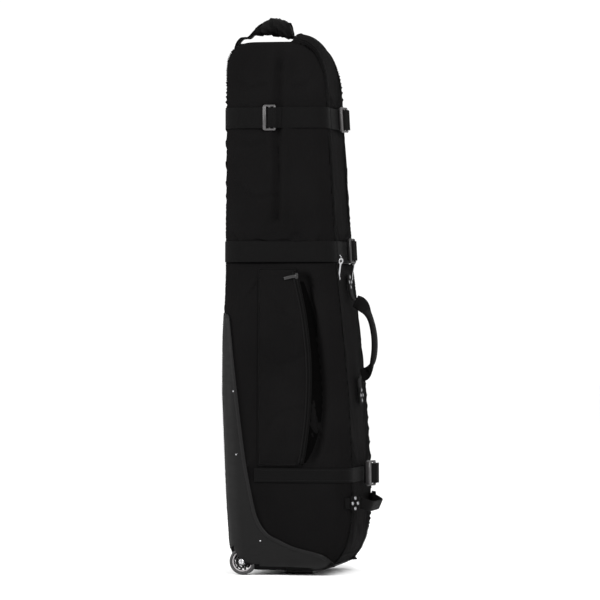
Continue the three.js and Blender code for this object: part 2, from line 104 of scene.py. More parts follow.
class Nodes:
    """Short names for building one material's node tree."""

    def __init__(self, name, colour, roughness, metallic=0.0):
        self.material = bpy.data.materials.new(name)
        self.material.use_nodes = True
        self.tree = self.material.node_tree
        self.shader = self.tree.nodes["Principled BSDF"]
        self.put("Base Color", (*colour, 1))
        self.put("Roughness", roughness)
        self.put("Metallic", metallic)

    def put(self, socket, value):
        self.shader.inputs[socket].default_value = value

    def add(self, kind, links=(), values=(), **settings):
        node = self.tree.nodes.new("ShaderNode" + kind)
        for key, value in settings.items():
            setattr(node, key, value)
        for socket, value in values:
            node.inputs[socket].default_value = value
        for socket, source in links:
            self.tree.links.new(source, node.inputs[socket])
        return node

    def coords(self, kind, scale=(1, 1, 1)):
        if kind == "uv":
            source = self.add("UVMap", uv_map="weave").outputs["UV"]
        else:
            source = self.add("TexCoord").outputs["Object"]
        return self.add("Mapping", [("Vector", source)], [("Scale", scale)]).outputs["Vector"]

    def noise(self, where, scale, detail=3.0, roughness=0.55):
        values = [("Scale", scale), ("Detail", detail), ("Roughness", roughness)]
        return self.add("TexNoise", [("Vector", where)], values).outputs["Fac"]

    def wave(self, where, scale, direction, distortion=0.0):
        values = [("Scale", scale), ("Distortion", distortion)]
        node = self.add("TexWave", [("Vector", where)], values, bands_direction=direction)
        return node.outputs["Fac"]

    def maths(self, operation, a, b):
        node = self.add("Math", operation=operation)
        for index, value in enumerate((a, b)):
            if isinstance(value, (int, float)):
                node.inputs[index].default_value = value
            else:
                self.tree.links.new(value, node.inputs[index])
        return node.outputs[0]

    def ramp(self, source, stops):
        node = self.add("ValToRGB", [("Fac", source)])
        elements = node.color_ramp.elements
        while len(elements) < len(stops):
            elements.new(0.5)
        for element, (position, value) in zip(elements, stops):
            element.position = position
            element.color = (*value, 1) if hasattr(value, "__len__") else (value, value, value, 1)
        return node.outputs["Color"]

    def link(self, source, socket):
        self.tree.links.new(source, self.shader.inputs[socket])

    def bump(self, *layers):
        """layers are (height, strength, distance in metres), the coarsest first."""
        normal = None
        for height, strength, distance in layers:
            values = [("Strength", strength), ("Distance", distance)]
            links = [("Height", height)] + ([("Normal", normal)] if normal else [])
            normal = self.add("Bump", links, values).outputs["Normal"]
        self.link(normal, "Normal")


WAVE_UNIT = math.tau / 20  # a wave texture at scale 1 repeats every tau / 20 units


def grey(level, tint=(1.0, 0.95, 0.97)):
    return tuple(level * t for t in tint)


def woven(name, level, pitch, roughness, sheen, contrast=0.35):
    """A basket weave of warp and weft threads, with uneven yarn and a dusty wear."""
    m = Nodes(name, grey(level), roughness)
    uv = m.coords("uv")
    across = m.wave(uv, WAVE_UNIT / pitch, "X")
    along = m.wave(uv, WAVE_UNIT / pitch, "Y")
    slub = m.noise(uv, 900, 2)
    weave = m.maths("MAXIMUM", m.maths("POWER", across, 2.0), m.maths("POWER", along, 2.0))
    fold = m.noise(m.coords("object", (1, 1, 0.5)), 14, 4)
    patch = m.noise(m.coords("object"), 5, 3)
    dark = grey(level * (1 - contrast))
    light = grey(level * (1 + contrast))
    thread = m.ramp(m.maths("MULTIPLY", weave, slub), [(0.1, dark), (0.65, light)])
    wear = m.ramp(patch, [(0.35, 0.86), (0.7, 1.12)])
    colour = m.add("MixRGB", [("Color1", thread), ("Color2", wear)], [("Fac", 1.0)],
                   blend_type="MULTIPLY")
    m.link(colour.outputs["Color"], "Base Color")
    m.link(m.ramp(slub, [(0.3, roughness - 0.08), (0.7, roughness + 0.06)]), "Roughness")
    m.put("Sheen Weight", sheen)
    m.put("Sheen Roughness", 0.45)
    m.put("Specular IOR Level", 0.015)
    m.bump((fold, 0.25, 0.004), (weave, 0.5, 0.0005))
    return m.material


def ribbed(name, level, rib, sheen=0.25):
    """Webbing: fine ribs along its length and a tight cross weave."""
    m = Nodes(name, grey(level), 0.78)
    uv = m.coords("uv")
    ribs = m.wave(uv, WAVE_UNIT / rib, "X")
    picks = m.wave(uv, WAVE_UNIT / 0.0011, "Y", 0.4)
    fuzz = m.noise(uv, 1200, 2)
    height = m.maths("ADD", m.maths("MULTIPLY", ribs, 0.7), m.maths("MULTIPLY", picks, 0.4))
    tone = m.maths("MULTIPLY", height, fuzz)
    m.link(m.ramp(tone, [(0.1, grey(level * 0.6)), (0.6, grey(level * 1.5))]), "Base Color")
    m.put("Sheen Weight", sheen)
    m.put("Sheen Roughness", 0.4)
    m.put("Specular IOR Level", 0.05)
    m.bump((height, 0.7, 0.0006), (fuzz, 0.2, 0.0003))
    return m.material


def pebbled(name, level, roughness, scale=420, depth=0.00035):
    """Moulded plastic with a leather-like grain, rubbed smoother and paler in patches."""
    m = Nodes(name, grey(level, (1.0, 0.94, 0.98)), roughness)
    where = m.coords("object")
    cells = m.add("TexVoronoi", [("Vector", where)], [("Scale", scale)]).outputs["Distance"]
    scuff = m.noise(m.coords("object", (1, 1, 3)), 30, 6, 0.7)
    cloud = m.noise(where, 7, 3)
    shade = m.maths("MULTIPLY", scuff, cloud)
    m.link(m.ramp(shade, [(0.15, grey(level * 0.8)), (0.42, grey(level * 1.25))]), "Base Color")
    m.link(m.ramp(scuff, [(0.35, roughness + 0.08), (0.7, roughness - 0.1)]), "Roughness")
    m.put("Specular IOR Level", 0.11)
    m.bump((cloud, 0.15, 0.003), (cells, 0.45, depth))
    return m.material


def moulded(name, level, roughness, coat=0.0):
    """Smooth moulded plastic with faint flow marks."""
    m = Nodes(name, grey(level, (0.98, 1.0, 1.04)), roughness)
    where = m.coords("object")
    fine = m.noise(where, 700, 3)
    flow = m.noise(m.coords("object", (1, 1, 0.3)), 60, 4)
    m.link(m.ramp(flow, [(0.3, grey(level * 0.85)), (0.7, grey(level * 1.15))]), "Base Color")
    m.link(m.ramp(fine, [(0.3, roughness - 0.06), (0.7, roughness + 0.08)]), "Roughness")
    m.put("Coat Weight", coat)
    m.put("Specular IOR Level", 0.3)
    m.bump((fine, 0.25, 0.0002))
    return m.material


def metal(name, colour, roughness):
    """Plated metal with fine scratches and slightly uneven polish."""
    m = Nodes(name, colour, roughness, 1.0)
    scratch = m.noise(m.coords("object", (1, 1, 14)), 500, 4)
    cloud = m.noise(m.coords("object"), 120, 3)
    low = tuple(c * 0.8 for c in colour)
    m.link(m.ramp(cloud, [(0.3, low), (0.7, colour)]), "Base Color")
    m.link(m.ramp(scratch, [(0.3, roughness - 0.08), (0.75, roughness + 0.14)]), "Roughness")
    m.bump((scratch, 0.15, 0.0001))
    return m.material


def rubber(name, level, roughness):
    """Polyurethane tyre with patchy dust, rougher where it lies."""
    m = Nodes(name, grey(level, (1, 1, 1)), roughness)
    dust = m.noise(m.coords("object"), 90, 6, 0.7)
    m.link(m.ramp(dust, [(0.4, grey(level)), (0.75, grey(level * 2.6))]), "Base Color")
    m.link(m.ramp(dust, [(0.3, roughness), (0.8, roughness + 0.2)]), "Roughness")
    m.bump((dust, 0.3, 0.0005))
    return m.material


FABRIC = woven("ballistic_nylon", 0.0040, 0.0013, 0.9, 0.0)
POCKET_FABRIC = woven("pocket_nylon", 0.0041, 0.0011, 0.9, 0.0)
LINING = woven("lining_tricot", 0.018, 0.0009, 0.9, 0.15)
WEBBING = ribbed("nylon_webbing", 0.0020, 0.0022, 0.004)
GRIP = ribbed("grip_wrap", 0.0040, 0.0030, 0.006)
PIPING = ribbed("piping_cord", 0.0022, 0.0016, 0.0)
THREAD_MAT = ribbed("sewing_thread", 0.010, 0.0005, 0.02)
TAPE = woven("zip_tape", 0.0022, 0.0007, 0.85, 0.01)
# near-black cloth for the sheet in front of each pocket mouth: painted shade, not a real lining
MOUTH_SHADE = woven("mouth_painted_shade", 0.0012, 0.0009, 0.95, 0.0)
COIL = ribbed("zip_coil", 0.0034, 0.0016, 0.0)
BOOT = pebbled("boot_plastic", 0.0026, 0.52)
# the lip's plastic is lighter than the boot's: painted highlight along the flange's front edge
BOOT_LIP_HIGHLIGHT = pebbled("boot_lip_painted_highlight", 0.0034, 0.50, 700, 0.0002)
LOCK = moulded("lock_plastic", 0.040, 0.36, 0.1)
DARK_LOCK = moulded("dark_lock_plastic", 0.006, 0.45, 0.05)
HUB = moulded("hub_nylon", 0.012, 0.4, 0.1)
RIM = moulded("rim_nylon", 0.24, 0.35, 0.2)
TYRE = rubber("tyre_polyurethane", 0.007, 0.5)
SILVER = metal("nickel_plate", (0.42, 0.42, 0.43), 0.26)
RIVET = metal("rivet_cap", (0.26, 0.26, 0.27), 0.3)
STEEL = metal("bearing_steel", (0.42, 0.42, 0.43), 0.35)
RIVET_DARK = metal("black_nickel", (0.03, 0.03, 0.03), 0.4)

# ---------------------------------------------------------------- mesh helpers


def add_object(name, verts, faces, material, uvs=None, smooth=True):
    """uvs holds one (u, v) in metres for each vertex, for weaves that follow the cloth."""
    mesh = bpy.data.meshes.new(name)
    mesh.from_pydata([tuple(map(float, v)) for v in verts], [], [tuple(map(int, f)) for f in faces])
    if uvs is not None:
        layer = mesh.uv_layers.new(name="weave")
        loops = np.zeros(len(mesh.loops), int)
        mesh.loops.foreach_get("vertex_index", loops)
        layer.data.foreach_set("uv", np.asarray(uvs, float)[loops].reshape(-1))
    mesh.polygons.foreach_set("use_smooth", [smooth] * len(mesh.polygons))
    mesh.materials.append(material)
    obj = bpy.data.objects.new(name, mesh)
    bpy.context.collection.objects.link(obj)
    return obj


def grid_faces(rows, cols, closed_cols=False, closed_rows=False):
    faces = []
    for j in range(rows if closed_rows else rows - 1):
        for i in range(cols if closed_cols else cols - 1):
            a = j * cols + i
            b = j * cols + (i + 1) % cols
            c = ((j + 1) % rows) * cols + (i + 1) % cols
            d = ((j + 1) % rows) * cols + i
            faces.append((a, b, c, d))
    return faces


def tube_faces(rings, sides, closed=False):
    """Faces between rings of points, capped at both ends unless the tube closes on itself."""
    faces = grid_faces(rings, sides, closed_cols=True, closed_rows=closed)
    if not closed:
        faces += [tuple(range(sides))[::-1], tuple((rings - 1) * sides + j for j in range(sides))]
    return faces


def fix_normals(obj, weld=False):
    """Turns all faces outward, after merging points that coincide where weld is set."""
    bm = bmesh.new()
    bm.from_mesh(obj.data)
    if weld:
        bmesh.ops.remove_doubles(bm, verts=bm.verts, dist=1e-6)
    bmesh.ops.recalc_face_normals(bm, faces=bm.faces)
    bm.to_mesh(obj.data)
    bm.free()


def soften(obj, width):
    """Rounds the sharp edges of a finished mesh."""
    bevel = obj.modifiers.new("bevel", "BEVEL")
    bevel.width, bevel.segments = width, 2
    bevel.limit_method, bevel.angle_limit = "ANGLE", math.radians(35)
    return obj


def apply_modifiers(obj):
    graph = bpy.context.evaluated_depsgraph_get()
    mesh = bpy.data.meshes.new_from_object(obj.evaluated_get(graph))
    obj.modifiers.clear()
    obj.data = mesh
    return obj


def join(name, objects):
    """Joins finished meshes into one object, keeping each one's material."""
    for obj in objects:
        if obj.modifiers:
            apply_modifiers(obj)
    bpy.ops.object.select_all(action="DESELECT")
    for obj in objects:
        obj.select_set(True)
    bpy.context.view_layer.objects.active = objects[0]
    bpy.ops.object.join()
    objects[0].name = name
    return objects[0]


def finish_piece(obj, body, replaced=()):
    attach(obj, body)
    if replaced:
        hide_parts(*replaced)
    return obj


def smooth_path(points, count):
    """Evenly spaced points on a Catmull-Rom curve through the given points."""
    p = np.asarray(points, float)
    p = np.vstack([2 * p[0] - p[1], p, 2 * p[-1] - p[-2]])
    samples = []
    for a, b, c, d in zip(p[:-3], p[1:-2], p[2:-1], p[3:]):
        t = np.linspace(0, 1, 12, endpoint=False)[:, None]
        cubic = -a + 3 * b - 3 * c + d
        square = 2 * a - 5 * b + 4 * c - d
        samples.append(0.5 * (2 * b + (c - a) * t + square * t ** 2 + cubic * t ** 3))
    dense = np.vstack(samples + [p[-2][None, :]])
    return resample(dense, count)


def arc_lengths(points):
    return np.concatenate([[0], np.cumsum(np.linalg.norm(np.diff(points, axis=0), axis=1))])


def resample(points, count):
    s = arc_lengths(points)
    t = np.linspace(0, s[-1], count)
    return np.stack([np.interp(t, s, points[:, k]) for k in range(points.shape[1])], axis=1)


def unit(v):
    return v / np.maximum(np.linalg.norm(v, axis=-1, keepdims=True), 1e-12)


def strap_section(width, thickness, round_off=0.35):
    """A flat webbing section with soft edges, as (across, out) points."""
    w, t = width / 2, thickness / 2
    e = t * 2 * round_off
    return [(-w + e, -t), (0, -t * 1.02), (w - e, -t), (w, -t * 0.3), (w, t * 0.3),
            (w - e, t), (0, t * 1.02), (-w + e, t), (-w, t * 0.3), (-w, -t * 0.3)]


def round_section(radius, sides=10, squash=1.0):
    return [(radius * math.cos(a), radius * squash * math.sin(a))
            for a in np.linspace(0, math.tau, sides, endpoint=False)]


def sweep(name, path, across, section, material, closed=False, scale=None):
    """Sweeps a section along a path. across gives the section's first axis at each point."""
    path = np.asarray(path, float)
    n = len(path)
    if closed:
        tangent = unit(np.roll(path, -1, 0) - np.roll(path, 1, 0))
    else:
        tangent = unit(np.gradient(path, axis=0))
    across = np.broadcast_to(np.asarray(across, float), path.shape)
    across = unit(across - tangent * np.sum(across * tangent, axis=1, keepdims=True))
    out = unit(np.cross(tangent, across))
    k = len(section)
    grow = np.ones(n) if scale is None else np.asarray(scale, float)
    rings = np.array([[path[i] + grow[i] * (across[i] * a + out[i] * b) for a, b in section]
                      for i in range(n)])
    around = arc_lengths(np.array([*section, section[0]]))[:-1]
    lengths = arc_lengths(path)
    uvs = np.array([[(around[j], lengths[i]) for j in range(k)] for i in range(n)])
    faces = tube_faces(n, k, closed)
    obj = add_object(name, rings.reshape(-1, 3), faces, material, uvs.reshape(-1, 2))
    fix_normals(obj)
    return obj


def lathe(name, profile, centre, material, segments=48, axis="X", direction=1.0):
    """Turns (radius, along) points about X or Z. A closed profile makes a ring."""
    closed = profile[0] == profile[-1]
    points = profile[:-1] if closed else profile
    rings = []
    angles = np.linspace(0, math.tau, segments, endpoint=False)
    for r, along in points:
        a, b = r * np.cos(angles), r * np.sin(angles)
        h = np.full(segments, along * direction)
        order = (h, a, b) if axis == "X" else (a, b, h)
        rings.append(np.stack(order, axis=1) + np.asarray(centre))
    faces = tube_faces(len(points), segments, closed)
    obj = add_object(name, np.array(rings).reshape(-1, 3), faces, material)
    fix_normals(obj, weld=True)
    return obj


# ---------------------------------------------------------------- the case's surface


def side_outline():
    """The case seen from the side as a closed, evenly spaced line of (y, z)."""
    runs = [(68, 14), ("bend", (136, 14), (138, 86)), (145, 185), (156, 430), (156, 560),
            (151, 680), (150, 1204), ("bend", (148, 1268), (88, 1268)), (-8, 1268),
            ("bend", (-84, 1262), (-91, 1150)), (-116, 741), (-135, 566), (-148, 433),
            (-157, 277), (-158, 170), ("bend", (-156, 30), (-84, 14))]
    points = [np.array((-84.0, 14.0))]
    for run in runs:
        if run[0] == "bend":
            start, control, end = points[-1], np.array(run[1], float), np.array(run[2], float)
            for t in np.linspace(0, 1, 17)[1:]:
                points.append((1 - t) ** 2 * start + 2 * t * (1 - t) * control + t * t * end)
        else:
            points.append(np.array(run, float))
    line = resample(np.array(points), 701)[:-1]
    for _ in range(8):
        line = (np.roll(line, 1, 0) + 2 * line + np.roll(line, -1, 0)) / 4
    return line / 1000 + np.array([SHIFT, 0])


OUTLINE = side_outline()
OUT_ARC = arc_lengths(np.vstack([OUTLINE, OUTLINE[:1]]))
PERIMETER = OUT_ARC[-1]
TANGENT = unit(np.roll(OUTLINE, -1, 0) - np.roll(OUTLINE, 1, 0))
OUTWARD = np.stack([TANGENT[:, 1], -TANGENT[:, 0]], axis=1)


def outline_at(s):
    """Point and outward normal on the side outline at arc length s, from the bottom front."""
    s = np.mod(np.asarray(s, float), PERIMETER)
    point = [np.interp(s, OUT_ARC, np.append(OUTLINE[:, k], OUTLINE[0, k])) for k in (0, 1)]
    normal = [np.interp(s, OUT_ARC, np.append(OUTWARD[:, k], OUTWARD[0, k])) for k in (0, 1)]
    return np.stack(point, -1), unit(np.stack(normal, -1))


def outward_at(s):
    """The same normal as a direction in space, across the gusset's middle."""
    normal = outline_at(s)[1]
    return np.stack([np.zeros(np.shape(s)), normal[..., 0], normal[..., 1]], axis=-1)


FRONT = np.where((OUTLINE[:, 0] < SHIFT - 0.08) & (OUTLINE[:, 1] > 0.03))[0]
BACK = np.where(OUTLINE[:, 0] > SHIFT + 0.05)[0]


def arc_front(z):
    order = FRONT[np.argsort(OUTLINE[FRONT, 1])]
    return np.interp(z, OUTLINE[order, 1], OUT_ARC[order])


def arc_back(z):
    order = BACK[np.argsort(OUTLINE[BACK, 1])]
    return np.interp(z, OUTLINE[order, 1], OUT_ARC[order])


def arc_top(y):
    top = np.where(OUTLINE[:, 1] > TOP_Z - 0.02)[0]
    order = top[np.argsort(OUTLINE[top, 0])]
    return np.interp(y + SHIFT, OUTLINE[order, 0], OUT_ARC[order])


def smoothstep(x, low, high):
    t = np.clip((x - low) / (high - low), 0, 1)
    return t * t * (3 - 2 * t)


def crown_lift(x, y, z):
    across = np.clip(1 - (x / SEAM) ** 2, 0, None)
    return CROWN_RISE * across * smoothstep(SHIFT - y, -0.004, 0.014) * smoothstep(z, 1.14, 1.25)


def strip_point(s, x, offset=0.0):
    """A point on the gusset surface: s along the outline, x across before the taper."""
    point, normal = outline_at(s)
    past = np.clip(np.abs(x) - SEAM, 0, CORNER + offset)
    inset = (CORNER + offset) - np.sqrt(np.clip((CORNER + offset) ** 2 - past ** 2, 0, None))
    yz = point + normal * (offset - inset)[..., None]
    z = yz[..., 1] + crown_lift(x, yz[..., 0], yz[..., 1])
    return np.stack([x * (1 - TAPER * z), yz[..., 0], z], axis=-1)


def edge_distance(y, z):
    """How far inside the side outline a point lies."""
    flat = np.stack([np.ravel(y), np.ravel(z)], axis=1)
    gap = np.empty(len(flat))
    for start in range(0, len(flat), 2000):
        block = flat[start:start + 2000]
        gap[start:start + 2000] = np.min(
            np.linalg.norm(block[:, None, :] - OUTLINE[None, :, :], axis=2), axis=1)
    return gap.reshape(np.shape(y))


def side_x(y, z, offset=0.0):
    """Lateral distance of the side panel's surface at (y, z), taper included."""
    depth = np.clip(CORNER - edge_distance(y, z), 0, None)
    reach = np.sqrt(np.clip((CORNER + offset) ** 2 - depth ** 2, 0, None))
    return (SEAM + reach) * (1 - TAPER * z)


def spread_over(start, stop, count, ease=0.0):
    """Evenly spaced numbers, drawn towards both ends as ease grows to 1."""
    t = np.linspace(0, 1, count)
    return start + (stop - start) * ((1 - ease) * t + ease * (1 - np.cos(math.pi * t)) / 2)


def wrinkle(points, scale, seed, stretch=(1.0, 1.0, 0.35)):
    """Smooth seeded noise at each point, stretched along the case."""
    flat = points.reshape(-1, 3) * scale * np.array(stretch)
    values = [noise.noise(Vector((p[0] + seed, p[1] - seed, p[2] + 2 * seed))) for p in flat]
    return np.array(values).reshape(points.shape[:-1])


# ---------------------------------------------------------------- relief of the fabric


def fold_line(y, z, points, width):
    """1 on a line through (y, z) points of the case's own frame, in metres, fading over width."""
    line = smooth_path(np.array(points) + np.array([SHIFT, 0]), 60)
    flat = np.stack([np.ravel(y), np.ravel(z)], axis=1)
    near = np.min(np.linalg.norm(flat[:, None, :] - line[None, :, :], axis=2), axis=1)
    return np.exp(-(near / width) ** 2).reshape(np.shape(y))


def strap_pinch(z):
    """Fabric drawn in below each strap, and swelling a little either side of it."""
    total = np.zeros_like(z)
    for centre, half in ((NECK_Z, 0.026), (WAIST_STRAP_Z, 0.026), (LOWER_STRAP_Z, 0.018)):
        d = np.abs(z - centre)
        total += (-0.0018 * np.exp(-(d / half) ** 4)
                  + 0.0022 * np.exp(-((d - 1.9 * half) / 0.02) ** 2))
    return total


def seam_pinch(z):
    return -0.0030 * np.exp(-((z - WAIST_Z) / 0.008) ** 2)


# The long fold down the upper side, as (y, z) of the case's own frame.
PUCKER = [(0.010, 1.246), (0.017, 1.20), (0.019, 1.12), (0.021, 1.05), (0.020, 0.95),
          (0.023, 0.85)]


def side_relief(points, side):
    """How far each point of a side panel stands out from the plain shape."""
    y, z = points[..., 1], points[..., 2]
    inside = smoothstep(edge_distance(y, z), 0.0, 0.045)
    relief = 0.0022 * wrinkle(points, 9, 3.1 + side) + 0.0012 * wrinkle(points, 26, 7.7 + side)
    upper = smoothstep(z, WAIST_Z, WAIST_Z + 0.02)
    valley = fold_line(y, z, PUCKER, 0.0080)
    ridges = fold_line(y, z, [(p[0] - 0.019, p[1]) for p in PUCKER], 0.012)
    ridges += fold_line(y, z, [(p[0] + 0.019, p[1]) for p in PUCKER], 0.012)
    knots = 0.92 + 0.14 * np.sin(z * 95 + 2.2 * np.sin(z * 31))
    relief += upper * (0.0040 * ridges * knots - 0.0090 * valley * knots)
    creases = [([(0.128, 0.806), (0.112, 0.783), (0.088, 0.762)], 0.0050),
               ([(0.122, 0.775), (0.104, 0.760), (0.078, 0.750)], 0.0035),
               ([(-0.085, 0.800), (-0.070, 0.778), (-0.040, 0.760)], 0.0035),
               ([(-0.020, 0.812), (-0.012, 0.785), (-0.014, 0.757)], 0.0028),
               ([(0.120, 0.930), (0.075, 0.900), (0.020, 0.906)], 0.0026),
               ([(0.126, 1.040), (0.090, 1.020), (0.052, 1.028)], 0.0024),
               ([(-0.070, 1.190), (-0.045, 1.165), (-0.020, 1.160)], 0.0026),
               ([(0.118, 1.180), (0.085, 1.158), (0.050, 1.166)], 0.0024)]
    for line, depth in creases:
        relief -= depth * fold_line(y, z, line, 0.006)
        relief += depth * 0.6 * fold_line(y, z, [(a + 0.004, b + 0.013) for a, b in line], 0.008)
    mouth = [(-0.048, 0.700), (-0.060, 0.62), (-0.076, 0.52), (-0.084, 0.42), (-0.078, 0.34),
             (-0.060, 0.275)]
    ridge = [(a - 0.028, b) for a, b in mouth]
    relief -= 0.0150 * fold_line(y, z, mouth, 0.016) * smoothstep(z, 0.255, 0.30)
    relief += 0.0040 * fold_line(y, z, ridge, 0.014)
    relief += strap_pinch(z) + seam_pinch(z)
    return relief * inside


def front_relief(points, amount=1.0):
    """The same for the gusset strips, with soft billows between the straps."""
    z = points[..., 2]
    relief = 0.0018 * wrinkle(points, 11, 12.3) + 0.0010 * wrinkle(points, 30, 21.9)
    return amount * relief + strap_pinch(z) + seam_pinch(z)


# ---------------------------------------------------------------- fabric panels


def grid_normals(grid, outward):
    """Unit normals of a grid of points, all on the side that outward points to."""
    du = np.gradient(grid, axis=0)
    dv = np.gradient(grid, axis=1)
    normal = unit(np.cross(du, dv))
    flip = np.sign(np.sum(normal * outward, axis=-1).sum()) or 1.0
    return normal * flip


def grid_uvs(grid):
    """Flat lengths along both directions of a grid, so weaves keep their real size."""
    rows, cols = grid.shape[:2]
    across = np.zeros((rows, cols))
    across[:, 1:] = np.cumsum(np.linalg.norm(np.diff(grid, axis=1), axis=-1), axis=1)
    across -= across[:, cols // 2:cols // 2 + 1]
    along = np.zeros((rows, cols))
    along[1:] = np.cumsum(np.linalg.norm(np.diff(grid, axis=0), axis=-1), axis=0)
    return np.stack([across, along], axis=-1)


def slab(name, grid, normals, thickness, material, edge=0.0):
    """A closed sheet of real thickness: outer skin, inner skin and the edge between them."""
    rows, cols = grid.shape[:2]
    inner = grid - normals * thickness
    if edge:
        rim = np.ones((rows, cols))
        rim[1:-1, 1:-1] = 0
        grid = grid - normals * (rim * edge)[..., None]
    count = rows * cols
    faces = grid_faces(rows, cols)
    faces += [tuple(i + count for i in f[::-1]) for f in grid_faces(rows, cols)]
    border = list(range(cols)) + [j * cols + cols - 1 for j in range(1, rows)]
    border += [(rows - 1) * cols + i for i in range(cols - 2, -1, -1)]
    border += [j * cols for j in range(rows - 2, 0, -1)]
    for a, b in zip(border, border[1:] + border[:1]):
        faces.append((b, a, a + count, b + count))
    verts = np.vstack([grid.reshape(-1, 3), inner.reshape(-1, 3)])
    uv = grid_uvs(grid).reshape(-1, 2)
    obj = add_object(name, verts, faces, material, np.vstack([uv, uv]))
    fix_normals(obj)
    return obj


def patch(low, high, first, last, rows, cols):
    """A smooth grid filling four boundary lines of (y, z): low and high run along columns."""
    low, high = resample(low, 400), resample(high, 400)
    first, last = resample(first, 400), resample(last, 400)
    v, u = spread_over(0, 1, rows, 0.85), spread_over(0, 1, cols, 0.85)

    def at(line, t):
        return np.stack([np.interp(t, np.linspace(0, 1, 400), line[:, k]) for k in (0, 1)], -1)

    uu, vv = u[None, :, None], v[:, None, None]
    ruled = (1 - vv) * at(low, u)[None] + vv * at(high, u)[None]
    ruled = ruled + (1 - uu) * at(first, v)[:, None] + uu * at(last, v)[:, None]
    corners = ((1 - uu) * (1 - vv) * low[0] + uu * (1 - vv) * low[-1]
               + (1 - uu) * vv * high[0] + uu * vv * high[-1])
    return ruled - corners


def outline_run(start, stop, count=300):
    """Points of the side outline from one arc length to another, forward or back."""
    return outline_at(np.linspace(start, stop, count))[0]


def side_grid(flat, side, offset=0.0):
    y, z = flat[..., 0], flat[..., 1]
    return np.stack([side * side_x(y, z, offset), y, z], axis=-1)


def upper_side_flat(rows, cols):
    waist_front, waist_back = arc_front(WAIST_Z + SEAM_GAP), arc_back(WAIST_Z + SEAM_GAP)
    dome_front, dome_back = arc_top(-0.062), arc_back(1.232)
    low = np.linspace(outline_at(waist_front)[0], outline_at(waist_back)[0], 60)
    high = outline_run(dome_front, dome_back)
    return patch(low, high, outline_run(waist_front, dome_front),
                 outline_run(waist_back, dome_back), rows, cols)


def lower_side_flat(rows, cols):
    waist_front, waist_back = arc_front(WAIST_Z - SEAM_GAP), arc_back(WAIST_Z - SEAM_GAP)
    foot_front = float(arc_front(0.052))
    foot_back = float(arc_back(0.040))
    high = np.linspace(outline_at(waist_front)[0], outline_at(waist_back)[0], 60)
    low = outline_run(foot_front + PERIMETER * (foot_front < PERIMETER / 2),
                      foot_back + PERIMETER * (foot_front > PERIMETER / 2))
    return patch(low, high, outline_run(foot_front, waist_front),
                 outline_run(foot_back, waist_back), rows, cols)


# ---------------------------------------------------------------- cloth


PAD_GIVE = 0.0008       # how far the cloth can sink into the padding behind it
SLIDE_LIMIT = 0.003     # how far it can move along its own surface
CLOTH_FRAMES = 22


def make_cloth(obj, growth, pressure):
    """Light woven cloth, pinned at its sewn points and pushed out by the filling."""
    cloth = obj.modifiers.new("cloth", "CLOTH")
    cloth.point_cache.frame_start, cloth.point_cache.frame_end = 1, CLOTH_FRAMES
    settings = cloth.settings
    settings.vertex_group_mass = "sewn"
    settings.quality = 5
    settings.mass = 0.5
    settings.air_damping = 3
    settings.tension_stiffness = settings.compression_stiffness = 40
    settings.shear_stiffness = 20
    settings.bending_stiffness = 6
    settings.shrink_min = settings.shrink_max = -growth
    settings.use_pressure = True
    settings.uniform_pressure_force = pressure


def drape(grid, normals, sewn, growth, pressure, limit=0.006):
    """Settles a panel as cloth, held where it is sewn down, and returns its new points.

    growth is the extra length of the cloth between its seams, which makes it buckle. It rises
    up to limit, and the padding behind it keeps it from sinking more than PAD_GIVE.
    """
    rows, cols = grid.shape[:2]
    obj = add_object("drape", grid.reshape(-1, 3), grid_faces(rows, cols), FABRIC)
    first = obj.data.polygons[0]
    facing = Vector(normals.reshape(-1, 3)[first.vertices[0]]).dot(first.normal)
    if facing < 0:
        obj.data.flip_normals()
    group = obj.vertex_groups.new(name="sewn")
    group.add([int(i) for i in np.nonzero(sewn.reshape(-1))[0]], 1.0, "REPLACE")
    make_cloth(obj, growth, pressure)
    scene = bpy.context.scene
    for number in range(1, CLOTH_FRAMES + 1):
        scene.frame_set(number)
    graph = bpy.context.evaluated_depsgraph_get()
    mesh = obj.evaluated_get(graph).to_mesh()
    moved = np.zeros(len(mesh.vertices) * 3)
    mesh.vertices.foreach_get("co", moved)
    moved = moved.reshape(grid.shape) - grid
    bpy.data.objects.remove(obj)
    scene.frame_set(1)
    out = np.sum(moved * normals, axis=-1, keepdims=True)
    slide = moved - out * normals
    reach = np.linalg.norm(slide, axis=-1, keepdims=True)
    slide = slide * np.minimum(1, SLIDE_LIMIT / np.maximum(reach, 1e-9))
    reach = np.where(out > 0, limit, PAD_GIVE)
    return grid + normals * reach * np.tanh(out / reach) + slide


def border(rows, cols, width=1):
    mask = np.ones((rows, cols), bool)
    mask[width:-width, width:-width] = False
    return mask


def under_straps(z):
    """Where the fabric is held down by a strap."""
    mask = np.zeros(z.shape, bool)
    for centre, half in ((NECK_Z, 0.024), (WAIST_STRAP_Z, 0.024), (LOWER_STRAP_Z, 0.017)):
        mask |= np.abs(z - centre) < half
    return mask


# ---------------------------------------------------------------- the fabric shell

FABRIC_T = 0.003


def add_side_panel(name, flat, side, hidden, seat):
    """One side panel: pillowed, puckered, and held flat wherever something sits on it."""
    rows, cols = flat.shape[:2]
    plain = side_grid(flat, side)
    normals = grid_normals(plain, (side, 0, 0))
    shaped = plain + normals * side_relief(plain, side)[..., None]
    sewn = border(rows, cols) | under_straps(shaped[..., 2]) | seat(shaped[..., 1], shaped[..., 2])
    settled = drape(shaped, normals, sewn, 0.022, 1.5)
    panel = slab(name, settled, normals, FABRIC_T, FABRIC)
    return finish_piece(panel, "case", hidden)


def behind_pocket(y, z):
    return (y - SHIFT < 0.066) & (y - SHIFT > -0.062) & (z > 0.255) & (z < 0.735)


def nowhere(y, z):
    return np.zeros(np.shape(y), bool)


def add_side_panels():
    for side, word in SIDES:
        upper = upper_side_flat(190, 76)
        add_side_panel("upper_side_" + word, upper, side, ["upper_side_panel_" + word], nowhere)
        lower = lower_side_flat(210, 84)
        add_side_panel("lower_side_" + word, lower, side, ["lower_side_panel_" + word],
                       behind_pocket)


